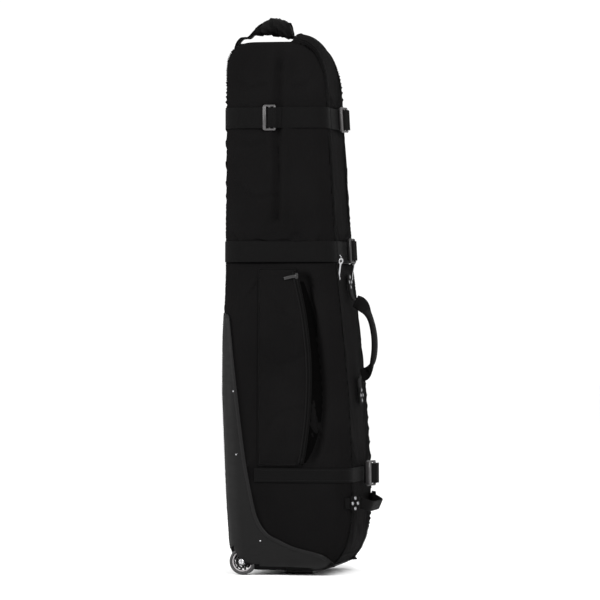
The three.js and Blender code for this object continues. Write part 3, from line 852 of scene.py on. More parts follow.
def gusset_sheet(s0, s1, x0, x1, rows, cols, offset=0.0):
    """Points and normals on the gusset, from s0 to s1 along the outline and x0 to x1 across."""
    s = np.broadcast_to(np.linspace(s0, s1, rows)[:, None], (rows, cols))
    x = np.broadcast_to(np.linspace(x0, x1, cols)[None, :], (rows, cols))
    grid = strip_point(s, x, offset)
    return grid, grid_normals(grid, outward_at(s))


def relief_sheet(s0, s1, x0, x1, rows, cols, amount):
    """The same with the fabric's relief, which fades out towards both long seams."""
    plain, normals = gusset_sheet(s0, s1, x0, x1, rows, cols)
    x = np.linspace(x0, x1, cols)
    inside = 1 - np.clip(np.abs(x) / SEAM, 0, 1) ** 8
    return plain + normals * (front_relief(plain, amount) * inside)[..., None], normals


S_WAIST_FRONT = float(arc_front(WAIST_Z))
S_COVER_END = float(arc_top(COVER_END_Y))
S_TOP_BACK = float(arc_back(1.216))
S_BACK_LOW = float(arc_back(0.090))
S_FOOT = float(arc_front(0.045))


def add_gusset(name, s0, s1, x0, x1, rows, cols, hidden, amount=1.0, growth=0.0, body="case"):
    grid, normals = relief_sheet(s0, s1, x0, x1, rows, cols, amount)
    if growth:
        sewn = border(rows, cols) | under_straps(grid[..., 2])
        grid = drape(grid, normals, sewn, growth, 1.5, 0.005)
    panel = slab(name, grid, normals, FABRIC_T, FABRIC)
    return finish_piece(panel, body, hidden)


def add_shell():
    add_side_panels()
    add_gusset("lower_front", S_WAIST_FRONT + SEAM_GAP, S_FOOT, -SEAM, SEAM, 170, 56,
               ["lower_front_panel"], growth=0.02)
    add_gusset("bottom", S_FOOT, S_BACK_LOW + PERIMETER, -SEAM, SEAM, 70, 40,
               ["bottom_panel"], 0.3)
    add_gusset("back", S_BACK_LOW, S_TOP_BACK, -SEAM, SEAM, 240, 48, ["back_panel"], growth=0.015)
    add_gusset("top", S_TOP_BACK, S_COVER_END - COVER_GAP, -SEAM, SEAM, 60, 56, ["top_panel"])
    for side, word in SIDES:
        add_gusset("zip_lane_" + word, S_COVER_END, S_WAIST_FRONT - SEAM_GAP,
                   side * (COVER_HALF + COVER_GAP), side * SEAM, 160, 10, [], 0.5)
    add_gusset("cover", S_COVER_END + COVER_GAP, S_WAIST_FRONT - SEAM_GAP, -COVER_HALF,
               COVER_HALF, 160, 56, ["front_cover"], growth=0.025, body="cover")


# ---------------------------------------------------------------- piping, binding and stitches


def add_piping():
    """A corded piping in each long seam between the side panels and the gusset."""
    cords = []
    for side in (-1, 1):
        s = np.linspace(0, PERIMETER, 900, endpoint=False)
        line = strip_point(s, np.full_like(s, side * SEAM), -0.0002)
        cords.append(sweep("piping", line, (1, 0, 0), round_section(0.0011, 8), PIPING, True))
    finish_piece(join("piping_cords", cords), "case")


def stitch_run(path, normal, pitch=0.0042, length=0.0030, radius=0.00045):
    """Short raised stitches along a line: low six-sided beads, as vertices and faces."""
    s = arc_lengths(path)
    count = max(int(s[-1] / pitch), 1)
    verts, faces = [], []
    for i in range(count):
        a, b = (i + 0.15) * s[-1] / count, (i + 0.15) * s[-1] / count + length
        ends = [np.array([np.interp(t, s, path[:, k]) for k in range(3)]) for t in (a, b)]
        out = np.array([np.interp(a, s, normal[:, k]) for k in range(3)])
        along = unit(ends[1] - ends[0])
        across = unit(np.cross(out, along))
        mid = (ends[0] + ends[1]) / 2 + out * radius * 0.9
        base = len(verts)
        for centre, size in ((ends[0], 0.45), (mid, 1.0), (ends[1], 0.45)):
            for turn in np.linspace(0, math.tau, 5, endpoint=False):
                ring = across * math.cos(turn) + out * math.sin(turn)
                verts.append(centre + ring * radius * size)
        for ring in (0, 5):
            for k in range(5):
                j = (k + 1) % 5
                faces.append((base + ring + k, base + ring + j, base + ring + 5 + j,
                              base + ring + 5 + k))
        faces.append(tuple(base + k for k in range(4, -1, -1)))
        faces.append(tuple(base + 10 + k for k in range(5)))
    return verts, faces


def stitches(name, runs, body):
    """runs is a list of (path, normals); all go into one object of thread."""
    verts, faces = [], []
    for path, normal in runs:
        v, f = stitch_run(np.asarray(path), np.broadcast_to(normal, np.shape(path)))
        faces += [tuple(i + len(verts) for i in face) for face in f]
        verts += v
    uvs = np.array(verts)[:, [0, 2]]
    return finish_piece(add_object(name, verts, faces, THREAD_MAT, uvs), body)


# ---------------------------------------------------------------- webbing straps


def girth(z, offset, count):
    """One turn around the case at height z, from the middle of the front towards -X.

    Returns the points and the outward directions.
    """
    reach = SEAM + CORNER
    run = reach + math.pi / 2 * offset
    s_front, s_back = float(arc_front(z)), float(arc_back(z))
    front_x = np.concatenate([np.linspace(0, SEAM, 24)[:-1],
                              SEAM + (run - SEAM) * np.sin(np.linspace(0, math.pi / 2, 24))])
    front_x = np.clip(front_x, 0, reach + offset)
    front = strip_point(np.full_like(front_x, s_front), -front_x, offset)
    back_x = front_x[::-1]
    back = strip_point(np.full_like(back_x, s_back), -back_x, offset)
    y = np.linspace(front[-1, 1], back[0, 1], 90)[1:-1]
    level = np.full_like(y, z)
    side = np.stack([-side_x(y, level, offset), y, level], -1)
    half = np.vstack([front, side, back])
    half[:, 2] = z
    other = half[::-1][1:-1] * np.array([-1, 1, 1])
    loop = resample(np.vstack([half, other, half[:1]]), count + 1)[:-1]
    tangent = unit(np.roll(loop, -1, 0) - np.roll(loop, 1, 0))
    outward = unit(np.cross(np.array([0, 0, 1.0]), tangent))
    middle = loop - np.array([0, SHIFT, z])
    outward *= np.sign(np.sum(outward * middle, axis=1, keepdims=True))
    return loop, outward


STRAP_OFF, STRAP_T = 0.0008, 0.0022   # gap below a strap, and its thickness
TURN_POINTS = 420                     # points in one turn around the case


def band(name, z, width, keep, lift, body, hidden):
    """A strap around the case. keep(points) picks its part of the turn, lift(points) raises it."""
    rows = []
    outs = []
    for dz in (-0.5, -0.46, -0.2, 0.2, 0.46, 0.5):
        loop, outward = girth(z + dz * width, STRAP_OFF, TURN_POINTS)
        rows.append(loop + outward * lift(loop)[:, None])
        outs.append(outward)
    grid, normals = np.array(rows), np.array(outs)
    mask = keep(grid[2])
    start = int(np.argmax(mask & ~np.roll(mask, 1))) if not mask.all() else 0
    turn = [(start + i) % TURN_POINTS for i in range(TURN_POINTS)]
    chosen = [i for i in turn if mask[i]]
    if mask.all():
        chosen.append(chosen[0])
    grid, normals = grid[:, chosen], normals[:, chosen]
    wave = 0.0006 * wrinkle(grid, 30, 5.0 + z)
    grid = grid + normals * (wave + STRAP_T)[..., None]
    strap = slab(name, grid, normals, STRAP_T, WEBBING, 0.0006)
    finish_piece(strap, body, hidden)
    return grid, normals


def strap_stitches(grid, normals):
    """Stitch lines along both edges of a strap grid whose rows run across its width."""
    return [(grid[1] * (1 - pick) + grid[-2] * pick, normals[2]) for pick in (0.12, 0.88)]


def lock_lift(centre, reach=0.034, height=0.0042):
    """Raises a strap where it passes through a ladder lock at centre."""
    def lift(points):
        d = np.linalg.norm(points[:, :2] - np.array(centre)[:2], axis=1)
        return height * np.exp(-(d / reach) ** 4)
    return lift


def box_centre(node):
    low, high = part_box(node)
    return (np.array(low) + np.array(high)) / 2


def over_slider(points):
    """The waist strap rises over the zip lanes at the front corners."""
    half = COVER_HALF * (1 - TAPER * WAIST_STRAP_Z) + 0.008
    near = np.abs(np.abs(points[:, 0]) - half)
    return 0.0030 * np.exp(-(near / 0.012) ** 4) * (points[:, 1] < 0)


def part_on_cover(z):
    """Test for the points of a strap at height z that ride on the cover."""
    edge = COVER_HALF * (1 - TAPER * z) - 0.0006
    return lambda points: (np.abs(points[:, 0]) < edge) & (points[:, 1] < 0)


def add_straps():
    """Neck and waist straps, each cut at the cover's edges, and the lower strap."""
    neck_lifts = [lock_lift(box_centre(n)) for n in
                  ("neck_lock_left", "neck_lock_right", "neck_lock_back")]
    front_lift, waist_lift, low_lift = [lock_lift(box_centre(n)) for n in
                                        ("neck_lock_front", "waist_lock_front", "lower_lock_front")]
    on_neck, on_waist = part_on_cover(NECK_Z), part_on_cover(WAIST_STRAP_Z)
    band("neck_webbing", NECK_Z, STRAP_W, lambda p: ~on_neck(p),
         lambda p: sum(lift(p) for lift in neck_lifts), "case", ["neck_strap"])
    band("neck_webbing_cover", NECK_Z, STRAP_W, on_neck, front_lift, "cover",
         ["neck_strap_front"])
    band("waist_webbing", WAIST_STRAP_Z, STRAP_W, lambda p: ~on_waist(p), over_slider, "case",
         ["waist_strap"])
    band("waist_webbing_cover", WAIST_STRAP_Z, STRAP_W, on_waist,
         lambda p: waist_lift(p) + over_slider(p), "cover", ["waist_strap_front"])

    boot_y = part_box("lower_strap")[1][1]
    grid, normals = band("lower_webbing", LOWER_STRAP_Z, LOWER_STRAP_W,
                         lambda p: p[:, 1] < boot_y, low_lift, "case", ["lower_strap"])
    stitches("lower_strap_stitches", strap_stitches(grid, normals), "case")


# ---------------------------------------------------------------- ladder locks


def upright(facing):
    """Unit vectors out of a surface, up along it and to its side."""
    out = unit(np.array(facing, float))
    up = unit(np.array([0, 0, 1.0]) - out * out[2])
    return out, up, np.cross(up, out)


def rounded_bar(name, start, end, width, depth, material, facing):
    """A moulded bar with rounded edges from start to end, its depth along facing."""
    path = np.linspace(np.array(start), np.array(end), 5)
    across = np.cross(np.array(end) - np.array(start), np.array(facing))
    w, d = width / 2, depth / 2
    section = [(w * c, d * s) for c, s in
               ((1, 0.5), (0.72, 0.95), (0, 1.05), (-0.72, 0.95), (-1, 0.5),
                (-1, -0.5), (-0.72, -0.95), (0, -1.0), (0.72, -0.95), (1, -0.5))]
    ends = [0.72, 1.0, 1.0, 1.0, 0.72]
    path[1] = path[0] + (path[-1] - path[0]) * 0.03
    path[3] = path[-1] - (path[-1] - path[0]) * 0.03
    return sweep(name, path, across, section, material, scale=ends)


def add_lock(name, node, facing, body, height=LOCK_H, material=LOCK, depth=0.0070):
    """A ladder lock: a frame of three long bars, the strap folded over two of them."""
    out, up, side = upright(facing)
    centre = box_centre(node) + out * 0.0012
    half_w, half_h = 0.0125, height / 2 - 0.002
    bars = []
    for u, width, deep in ((-half_w, 0.0080, depth), (0.0, 0.0042, 0.0046),
                            (half_w, 0.0052, 0.0062)):
        bow = centre + side * u + out * max(0.0, deep - 0.0070) / 2
        bars.append(rounded_bar("bar", bow - up * half_h, bow + up * half_h, width, deep,
                                material, out))
    for v in (-1, 1):
        corner = centre + up * v * half_h
        bend = [corner - side * (half_w + 0.0015) - up * v * 0.003,
                corner - side * (half_w - 0.0005) + out * 0.0004,
                corner + side * (half_w * 0.2), corner + side * (half_w + 0.0015)]
        bars.append(sweep("rail", smooth_path(bend, 14), out, round_section(0.0026, 10), material))
    lock = join(name, bars)
    finish_piece(lock, body, [node])
    fold = [(-0.0190, -0.0030), (-0.0105, -0.0024), (-0.0048, -0.0012), (-0.0028, 0.0030),
            (0.0030, 0.0044), (0.0095, 0.0042), (0.0150, 0.0048), (0.0205, 0.0010),
            (0.0280, -0.0016)]
    line = smooth_path([centre + side * u + out * v for u, v in fold], 40)
    wrap = sweep(name + "_fold", line, up, strap_section(height - 0.0115, 0.0020), WEBBING)
    finish_piece(wrap, body)


def front_facing(turn, z):
    """Outward direction of the front at height z, turned about the vertical by turn."""
    base = Vector(outward_at(arc_front(z)))
    base.rotate(Matrix.Rotation(turn, 3, "Z"))
    return np.array(base)


def add_locks():
    add_lock("neck_lock_l", "neck_lock_left", (-1, 0, 0), "case")
    add_lock("neck_lock_r", "neck_lock_right", (1, 0, 0), "case")
    add_lock("neck_lock_b", "neck_lock_back", (0, 1, 0), "case", material=DARK_LOCK)
    add_lock("neck_lock_f", "neck_lock_front", front_facing(-0.35, NECK_Z), "cover")
    add_lock("waist_lock_f", "waist_lock_front", front_facing(-0.25, WAIST_STRAP_Z), "cover",
             height=0.058, material=DARK_LOCK)
    add_lock("lower_lock_f", "lower_lock_front", front_facing(-0.6, LOWER_STRAP_Z), "case",
             depth=0.0150)


# ---------------------------------------------------------------- rivets


def domed_rivet(centre, facing, radius=0.0040, height=0.0022, washer=0.0052):
    """A domed rivet on a thin washer, as two closed turned bodies."""
    out = Vector(facing).normalized()
    turn = out.to_track_quat("Z", "Y").to_matrix().to_4x4()
    turn.translation = Vector(centre)
    dome = [(0, height), (radius * 0.45, height * 0.92), (radius * 0.78, height * 0.62),
            (radius * 0.96, height * 0.25), (radius, 0.0002), (radius, -0.0008), (0, -0.0008)]
    plate = [(0, 0.0006), (washer * 0.92, 0.0006), (washer, 0.0003), (washer, -0.0009),
             (0, -0.0009)]
    made = [lathe("dome", dome, (0, 0, 0), RIVET, 20, "Z"),
            lathe("washer", plate, (0, 0, 0), RIVET_DARK, 20, "Z")]
    for obj in made:
        obj.data.transform(turn)
    return made


def rivet_cluster(name, node, facing, spread=0.0125):
    """Four rivets in a diamond on a dark backing plate with cut corners."""
    out, up, side = upright(facing)
    surface = box_centre(node) + out * 0.0012
    made = []
    for u, v in ((0, 0.0122), (0, -0.0122), (-spread, 0), (spread, 0)):
        made += domed_rivet(surface + side * u + up * v, out)
    plate = [(u * (spread + 0.0055), v * 0.0175) for u, v in
             ((-0.8, -1), (0.8, -1), (1, -0.8), (1, 0.8), (0.8, 1), (-0.8, 1), (-1, 0.8),
              (-1, -0.8))]
    low = [surface - out * 0.0022 + side * u + up * v for u, v in plate]
    high = [surface - out * 0.0004 + side * u + up * v for u, v in plate]
    faces = [tuple(range(8))[::-1], tuple(range(8, 16))]
    faces += [(i, (i + 1) % 8, 8 + (i + 1) % 8, 8 + i) for i in range(8)]
    base = add_object("plate", low + high, faces, PIPING, smooth=False)
    fix_normals(base)
    made.append(soften(base, 0.0006))
    return finish_piece(join(name, made), "case", [node])


def add_rivets():
    for word in ("upper", "lower"):
        node = "carry_rivets_" + word
        rivet_cluster("rivets_carry_" + word, node, front_facing(0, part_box(node)[0][2] + 0.015))
    for side, word in SIDES:
        rivet_cluster("rivets_foot_" + word, "foot_rivets_" + word, (side * 0.50, -0.87, 0),
                      0.0092)


# ---------------------------------------------------------------- handles


def case_points(points):
    """Millimetres in the case's own frame to metres in the row frame."""
    return np.array(points, float) / 1000 + np.array([0, SHIFT, 0])


def ribbon(name, points, width, thickness, count):
    """Webbing that lies across X, through points of the case's own frame."""
    path = smooth_path(case_points(points), count)
    return sweep(name, path, (1, 0, 0), strap_section(width, thickness), WEBBING)


def add_carry_handle():
    """Webbing folded to a rounded grip in its middle, flat at both roots."""
    points = [(0, -143, 650), (0, -158, 642), (0, -178, 612), (0, -188, 575), (0, -190, 536),
              (0, -184, 500), (0, -170, 478), (0, -158, 472)]
    path = smooth_path(case_points(points), 70)
    roll_part = slice(12, 63)
    t = np.linspace(0, 1, len(path))
    flat_on = smoothstep(np.minimum(t, 1 - t), 0.04, 0.34)[:, None]
    across = (1 - flat_on) * np.array([0.35, -0.12, 0.90]) + flat_on * np.array([1.0, 0, 0])
    fullness = np.interp(np.minimum(t, 1 - t), [0, 0.1, 0.25, 0.5], [0.90, 0.98, 1.0, 0.92])
    strap = sweep("strap", path, across, strap_section(0.036, 0.0052, 0.5), WEBBING,
                  scale=fullness)
    inner = path[roll_part]
    t = np.linspace(0, math.pi, len(inner))
    roll = sweep("roll", inner, across[roll_part], strap_section(0.0345, 0.0112, 0.5), GRIP,
                 scale=0.80 + 0.20 * np.sin(t) ** 0.4)
    handle = join("carry_strap", [strap, roll])
    finish_piece(handle, "carry_loop", ["carry_handle"])
    upper = ribbon("carry_anchor_top", [(0, -127, 714), (0, -128.4, 700), (0, -131, 680),
                                        (0, -134, 664), (0, -140, 653)], 0.040, 0.0032, 24)
    finish_piece(upper, "case", ["carry_anchor_upper"])
    lower = ribbon("carry_anchor_low", [(0, -155.5, 471), (0, -152, 462), (0, -153, 448),
                                        (0, -154.6, 430), (0, -156.6, 405)], 0.040, 0.0032, 24)
    finish_piece(lower, "case", ["carry_anchor_lower"])


def add_top_strap():
    """The top handle's webbing, from its rear anchor to the front one."""
    loop = [(0, 125, 1285), (0, 116, 1286), (0, 104, 1298), (0, 88, 1314), (0, 66, 1322),
            (0, 44, 1320), (0, 28, 1306), (0, 19, 1291), (0, 11, 1288)]
    strap = ribbon("top_strap", loop, 0.038, 0.0036, 80)
    finish_piece(strap, "top_loop", ["top_handle_strap"])


def add_top_grip():
    """The soft wrap around the top handle, crimped and sagging, with three sewn collars."""
    centres = [(0, 106, 1294), (0, 92, 1301), (0, 74, 1310), (0, 54, 1311), (0, 34, 1308),
               (0, 18, 1302), (0, 10, 1296)]
    path = smooth_path(case_points(centres), 80)
    s = np.linspace(0, 1, len(path))
    tall = np.interp(s, [0, 0.1, 0.36, 0.5, 0.62, 0.85, 1], [3, 5, 15, 20, 22, 20, 9]) / 1000
    wide = np.interp(s, [0, 0.1, 0.3, 0.7, 1], [17, 22, 25, 25, 17]) / 1000
    sag = np.interp(s, [0, 0.1, 0.3, 0.6, 1], [1, 1.5, 1.35, 1.0, 1.2])
    turns = np.linspace(0, math.tau, 40, endpoint=False)
    rings = []
    for i, (a, b) in enumerate(zip(wide, tall)):
        crimp = 0.05 * np.sin(3 * turns + 9 * s[i]) + 0.04 * np.sin(7 * turns - 23 * s[i])
        crimp = crimp + 0.05 * math.sin(46 * s[i] + 2 * math.sin(11 * s[i]))
        x = a * np.sign(np.cos(turns)) * np.abs(np.cos(turns)) ** 0.75 * (1 + crimp)
        z = b * np.sign(np.sin(turns)) * np.abs(np.sin(turns)) ** 0.9 * (1 + crimp)
        z = np.where(z < 0, z * sag[i], z)
        rings.append(path[i] + np.stack([x, 0.12 * z, z], axis=1))
    rings = np.array(rings)
    n, k = rings.shape[:2]
    faces = tube_faces(n, k)
    uvs = np.array([[(j * 0.003, i * 0.0016) for j in range(k)] for i in range(n)])
    grip = add_object("top_grip", rings.reshape(-1, 3), faces, GRIP, uvs.reshape(-1, 2))
    fix_normals(grip)
    collars = []
    for share in (0.16, 0.52, 0.90):
        i = int(share * (n - 1))
        loop_line = (rings[i] - path[i]) * 1.05 + path[i]
        collars.append(sweep("collar", loop_line, (0, 1, 0.12), strap_section(0.011, 0.0018),
                             WEBBING, True))
    grip = join("top_grip", [grip, *collars])
    finish_piece(grip, "top_loop", ["top_handle_grip"])


def add_top_anchors():
    rear = ribbon("top_anchor_b", [(0, 153.2, 1180), (0, 153, 1215), (0, 152, 1245),
                                   (0, 146, 1270), (0, 136, 1283), (0, 126, 1285)],
                  0.038, 0.0032, 50)
    finish_piece(rear, "case", ["top_anchor_rear"])
    fore = ribbon("top_anchor_f", [(0, 9, 1288), (0, 5, 1287), (0, 3.5, 1281), (0, 8, 1273.6),
                                   (0, 16, 1271.4), (0, 48, 1270.8)], 0.038, 0.0030, 50)
    finish_piece(fore, "case", ["top_anchor_front"])


def add_foot_handle():
    half = [(-83, 0), (-80, -7), (-70, -19), (-56, -25.5), (-30, -27), (0, -27)]
    outline = half + [(-x, y) for x, y in half[-2::-1]]
    tilt = 0.4
    points = [(x, -170 + y * math.cos(tilt), 172 + y * math.sin(tilt)) for x, y in outline]
    path = smooth_path(case_points(points), 90)
    up = (0, -math.sin(tilt), math.cos(tilt))
    strap = sweep("foot_strap", path, up, strap_section(0.026, 0.0036), WEBBING)
    finish_piece(strap, "foot_loop", ["foot_handle"])
    for side, word in SIDES:
        tail = [(side * x, y, 172) for x, y in ((140, -146), (133, -153.2), (122, -158.6),
                                                (108, -160.6), (98, -162.4), (90, -168.4),
                                                (84, -170))]
        path = smooth_path(case_points(tail), 40)
        anchor = sweep("foot_tail_" + word, path, (0, 0, 1), strap_section(0.026, 0.0030),
                       WEBBING)
        finish_piece(anchor, "case", ["foot_anchor_" + word])


# ---------------------------------------------------------------- main zip


def zip_line(x, count=260, offset=0.0):
    """The zip's course: up one front lane, across the crown and down the other."""
    s_low, s_high = S_WAIST_FRONT - 0.004, S_COVER_END - (x - COVER_HALF) * 0.5
    up = np.linspace(s_low, s_high + 0.012, count)
    points = [(s, -x) for s in up]
    for turn in np.linspace(0, math.pi / 2, 12)[1:]:
        points.append((s_high + 0.012 - 0.012 * math.sin(turn), -x + 0.012 * (1 - math.cos(turn))))
    points += [(s_high, t) for t in np.linspace(-x + 0.012, x - 0.012, 60)[1:-1]]
    for turn in np.linspace(math.pi / 2, 0, 12):
        points.append((s_high + 0.012 - 0.012 * math.sin(turn), x - 0.012 * (1 - math.cos(turn))))
    points += [(s, x) for s in up[::-1][1:]]
    s = np.array([p[0] for p in points])
    across = np.array([p[1] for p in points])
    return strip_point(s, across, offset), outward_at(s)


def add_zip():
    """The tape on the case beside the cover, with the coil along its inner edge."""
    inner, out = zip_line(COVER_HALF + 0.0006, offset=0.0010)
    outer, _ = zip_line(COVER_HALF + 0.0148, offset=0.0010)
    mix = np.array([0.0, 0.04, 0.35, 0.7, 0.96, 1.0])[:, None, None]
    grid = inner[None] * (1 - mix) + outer[None] * mix
    normals = np.broadcast_to(out, grid.shape).copy()
    grid = grid + normals * 0.0004
    tape = slab("tape", grid, normals, 0.0012, TAPE)
    middle = inner * 0.78 + outer * 0.22
    line = resample(middle, 700)
    far = np.stack([np.interp(np.linspace(0, 1, 700), np.linspace(0, 1, len(out)), out[:, k])
                    for k in range(3)], axis=1)
    core = sweep("core", line + far * 0.0009, np.cross(far, np.gradient(line, axis=0)),
                 [(-0.0027, -0.0006), (0.0027, -0.0006), (0.0024, 0.0004), (0, 0.0007),
                  (-0.0024, 0.0004)], COIL)
    teeth = zip_teeth(resample(middle, 3000), out)
    finish_piece(join("zip_tape", [tape, core, teeth]), "case", ["main_zip"])


def zip_teeth(line, out, pitch=0.0021):
    """The coil's turns, each a small raised bead across the line."""
    s = arc_lengths(line)
    count = int(s[-1] / pitch)
    at = np.linspace(0, s[-1], count)
    points = np.stack([np.interp(at, s, line[:, k]) for k in range(3)], axis=1)
    share = np.linspace(0, 1, len(out))
    facing = np.stack([np.interp(at / s[-1], share, out[:, k]) for k in range(3)], axis=1)
    tangent = unit(np.gradient(points, axis=0))
    across = unit(np.cross(facing, tangent))
    verts, faces = [], []
    for p, f, t, a in zip(points, facing, tangent, across):
        base = len(verts)
        for lift, long, wide in ((0.0008, 0.0007, 0.0030), (0.0019, 0.00035, 0.0022)):
            for i, j in ((-1, -1), (1, -1), (1, 1), (-1, 1)):
                verts.append(p + f * lift + t * long * i + a * wide * j)
        faces += [(base, base + 3, base + 2, base + 1), (base + 4, base + 5, base + 6, base + 7)]
        faces += [(base + k, base + (k + 1) % 4, base + 4 + (k + 1) % 4, base + 4 + k)
                  for k in range(4)]
    obj = add_object("teeth", verts, faces, COIL, np.array(verts)[:, [0, 2]])
    fix_normals(obj)
    return obj


def extruded(name, outline, low, high, material, bevel=0.0006, holes=()):
    """A plate with a 2-D outline in local X, Z, between low and high along local Y."""
    curve = bpy.data.curves.new(name, "CURVE")
    curve.dimensions = "2D"
    curve.fill_mode = "BOTH"
    curve.extrude = (high - low) / 2 - bevel
    curve.bevel_depth = bevel
    curve.bevel_resolution = 2
    for loop in (outline, *holes):
        spline = curve.splines.new("POLY")
        spline.points.add(len(loop) - 1)
        for point, (u, v) in zip(spline.points, loop):
            point.co = (u, v, 0, 1)
        spline.use_cyclic_u = True
    shape = bpy.data.objects.new(name, curve)
    bpy.context.collection.objects.link(shape)
    graph = bpy.context.evaluated_depsgraph_get()
    mesh = bpy.data.meshes.new_from_object(shape.evaluated_get(graph))
    bpy.data.objects.remove(shape)
    mesh.transform(Matrix.Rotation(math.pi / 2, 4, "X"))
    mesh.transform(Matrix.Translation((0, (low + high) / 2, 0)))
    mesh.materials.clear()
    mesh.materials.append(material)
    obj = bpy.data.objects.new(name, mesh)
    bpy.context.collection.objects.link(obj)
    fix_normals(obj, weld=True)
    return obj


def circle(radius, count):
    return [(radius * math.cos(a), radius * math.sin(a))
            for a in np.linspace(0, math.tau, count, endpoint=False)]


def stadium(half_w, half_l, count=8):
    """A long rounded outline: half circles of half_w at both ends."""
    top = [(half_w * math.cos(a), half_l - half_w + half_w * math.sin(a))
           for a in np.linspace(0, math.pi, count)]
    return top + [(-x, -y) for x, y in top]


def add_zip_slider(word):
    """A slider's plate and the bridge that its puller hangs on."""
    centre = box_centre("zip_slider_" + word)
    front_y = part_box("zip_slider_" + word)[1][1]
    body = extruded("body", [(-0.0058, -0.0088), (0.0058, -0.0088), (0.0052, 0.0), (0.0058, 0.0075),
                             (0.0035, 0.0090), (-0.0035, 0.0090), (-0.0058, 0.0075),
                             (-0.0052, 0.0)], -0.0012, 0.0012, SILVER, 0.0005)
    bridge = sweep("bridge", [(0, -0.0008, 0.0062), (0, -0.0042, 0.0050), (0, -0.0057, 0.0024),
                              (0, -0.0059, -0.0020), (0, -0.0042, -0.0048), (0, -0.0008, -0.0060)],
                   (1, 0, 0), strap_section(0.0034, 0.0015), SILVER)
    slider = join("slider_" + word, [body, bridge])
    place = Matrix.Translation((centre[0], front_y - 0.0016, centre[2]))
    slider.data.transform(place @ Matrix.Rotation(-0.061, 4, "X"))
    finish_piece(slider, "zip_slider_" + word[0], ["zip_slider_" + word])


PULL_TURN, PULL_TILT, PULL_SCALE = 0.62, 0.18, 1.12   # how each puller hangs, in radians


def add_zip_puller(side, word):
    """A ring, a waisted shaft and an eye, turned to the side as it hangs in the photo."""
    pull_low, pull_high = (np.array(c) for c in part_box("zip_puller_" + word))
    middle = (pull_low + pull_high) / 2
    ring_z, eye_z = pull_high[2] - 0.0058, pull_low[2] + 0.0044
    ring = extruded("ring", circle(0.0062, 28), -0.0011, 0.0011, SILVER, 0.0004,
                    [circle(0.0036, 20)])
    ring.data.transform(Matrix.Translation((0, 0, ring_z)))
    stem = [(-0.0026, 0.5), (-0.0017, 0.32), (-0.0017, -0.3), (-0.0024, -0.5),
            (0.0024, -0.5), (0.0017, -0.3), (0.0017, 0.32), (0.0026, 0.5)]
    length = ring_z - eye_z - 0.0072
    shaft = extruded("shaft", [(u, v * length) for u, v in stem], -0.0010, 0.0010, SILVER, 0.0005)
    shaft.data.transform(Matrix.Translation((0, 0, (ring_z - 0.0052 + eye_z + 0.003) / 2)))
    eye = extruded("eye", circle(0.0044, 24), -0.0010, 0.0010, SILVER, 0.0004, [circle(0.0019, 14)])
    eye.data.transform(Matrix.Translation((0, 0, eye_z)))
    puller = join("puller_" + word, [ring, shaft, eye])
    puller.data.transform(Matrix.Translation((0, 0, -pull_high[2])))
    turned = Matrix.Rotation(side * PULL_TURN, 4, "Z") @ Matrix.Rotation(PULL_TILT, 4, "X")
    puller.data.transform(turned @ Matrix.Scale(PULL_SCALE, 4))
    puller.data.transform(Matrix.Translation((middle[0], middle[1] - 0.0030, pull_high[2] - 0.003)))
    finish_piece(puller, "zip_puller_" + word[0], ["zip_puller_" + word])


# ---------------------------------------------------------------- moulded boot

BOOT_T = 0.0034
BOOT_OFF = 0.0006          # gap between the fabric and the boot's inner face


def flange_line(count):
    """The boot's front edge on each side, from the back at the top to the front at the foot."""
    points = [(0.146, 0.6200), (0.137, 0.6130), (0.1305, 0.5720), (0.123, 0.505), (0.104, 0.352),
              (0.0925, 0.270), (0.080, 0.204), (0.064, 0.139), (0.040, 0.1015), (0.010, 0.0845),
              (-0.022, 0.0700), (-0.052, 0.0620), (-0.080, 0.0550), (-0.100, 0.0470),
              (-0.114, 0.0330), (-0.1195, 0.0235)]
    return smooth_path(np.array(points) + np.array([SHIFT, 0]), count)


def boot_grid(offset, rows=46, cols=420, middle=44):
    """Half of the boot from the flange to the outline, the gusset, and the other half."""
    flange = flange_line(cols)
    toe = (OUTLINE[:, 0] < SHIFT - 0.09) & (OUTLINE[:, 1] < 0.08)
    s_top = float(arc_back(0.620))
    s_end = float(np.interp(0.0225, OUTLINE[toe][::-1, 1], OUT_ARC[:-1][toe][::-1])) - PERIMETER
    share = arc_lengths(flange) / arc_lengths(flange)[-1]
    s = s_top + (s_end - s_top) * share
    edge = outline_at(s)[0]
    v = np.sin(np.linspace(0, 1, rows) * math.pi / 2)[:, None, None]
    flat = flange[None] * (1 - v) + edge[None] * v
    halves = [side_grid(flat, side, offset) for side in (-1, 1)]
    ss = np.broadcast_to(s[None, :], (middle, cols))
    xx = np.broadcast_to(np.linspace(-SEAM, SEAM, middle)[:, None], (middle, cols))
    bridge = strip_point(ss, xx, offset)
    return np.vstack([halves[0], bridge[1:-1], halves[1][::-1]])


# Where the boot's side stops short of the wheel, seen from the side about the axle.
EAR_GAP = [(0.0215, 0.0330), (0.0150, 0.0235), (0.0108, 0.0150), (0.0092, 0.0060),
           (0.0088, -0.0020), (0.0062, -0.0082), (0.0010, -0.0112), (-0.0060, -0.0108),
           (-0.0120, -0.0122), (-0.0170, -0.0166), (-0.0210, -0.0200), (-0.0210, -0.0700),
           (0.0900, -0.0700), (0.0900, 0.0330)]


def wheel_recess(grid):
    """Sinks the boot's side over each wheel to the level of the axle bolt's seat."""
    axle = box_centre("tyre_left")
    gap = np.hypot(grid[..., 1] - axle[1], grid[..., 2] - axle[2])
    sunk = 1 - smoothstep(gap, 0.0110, 0.0170)
    on_side = np.abs(grid[..., 0]) > 0.146
    deep = np.abs(grid[..., 0]) - 0.1486
    grid[..., 0] -= np.sign(grid[..., 0]) * np.where(on_side, deep * sunk, 0)
    return grid


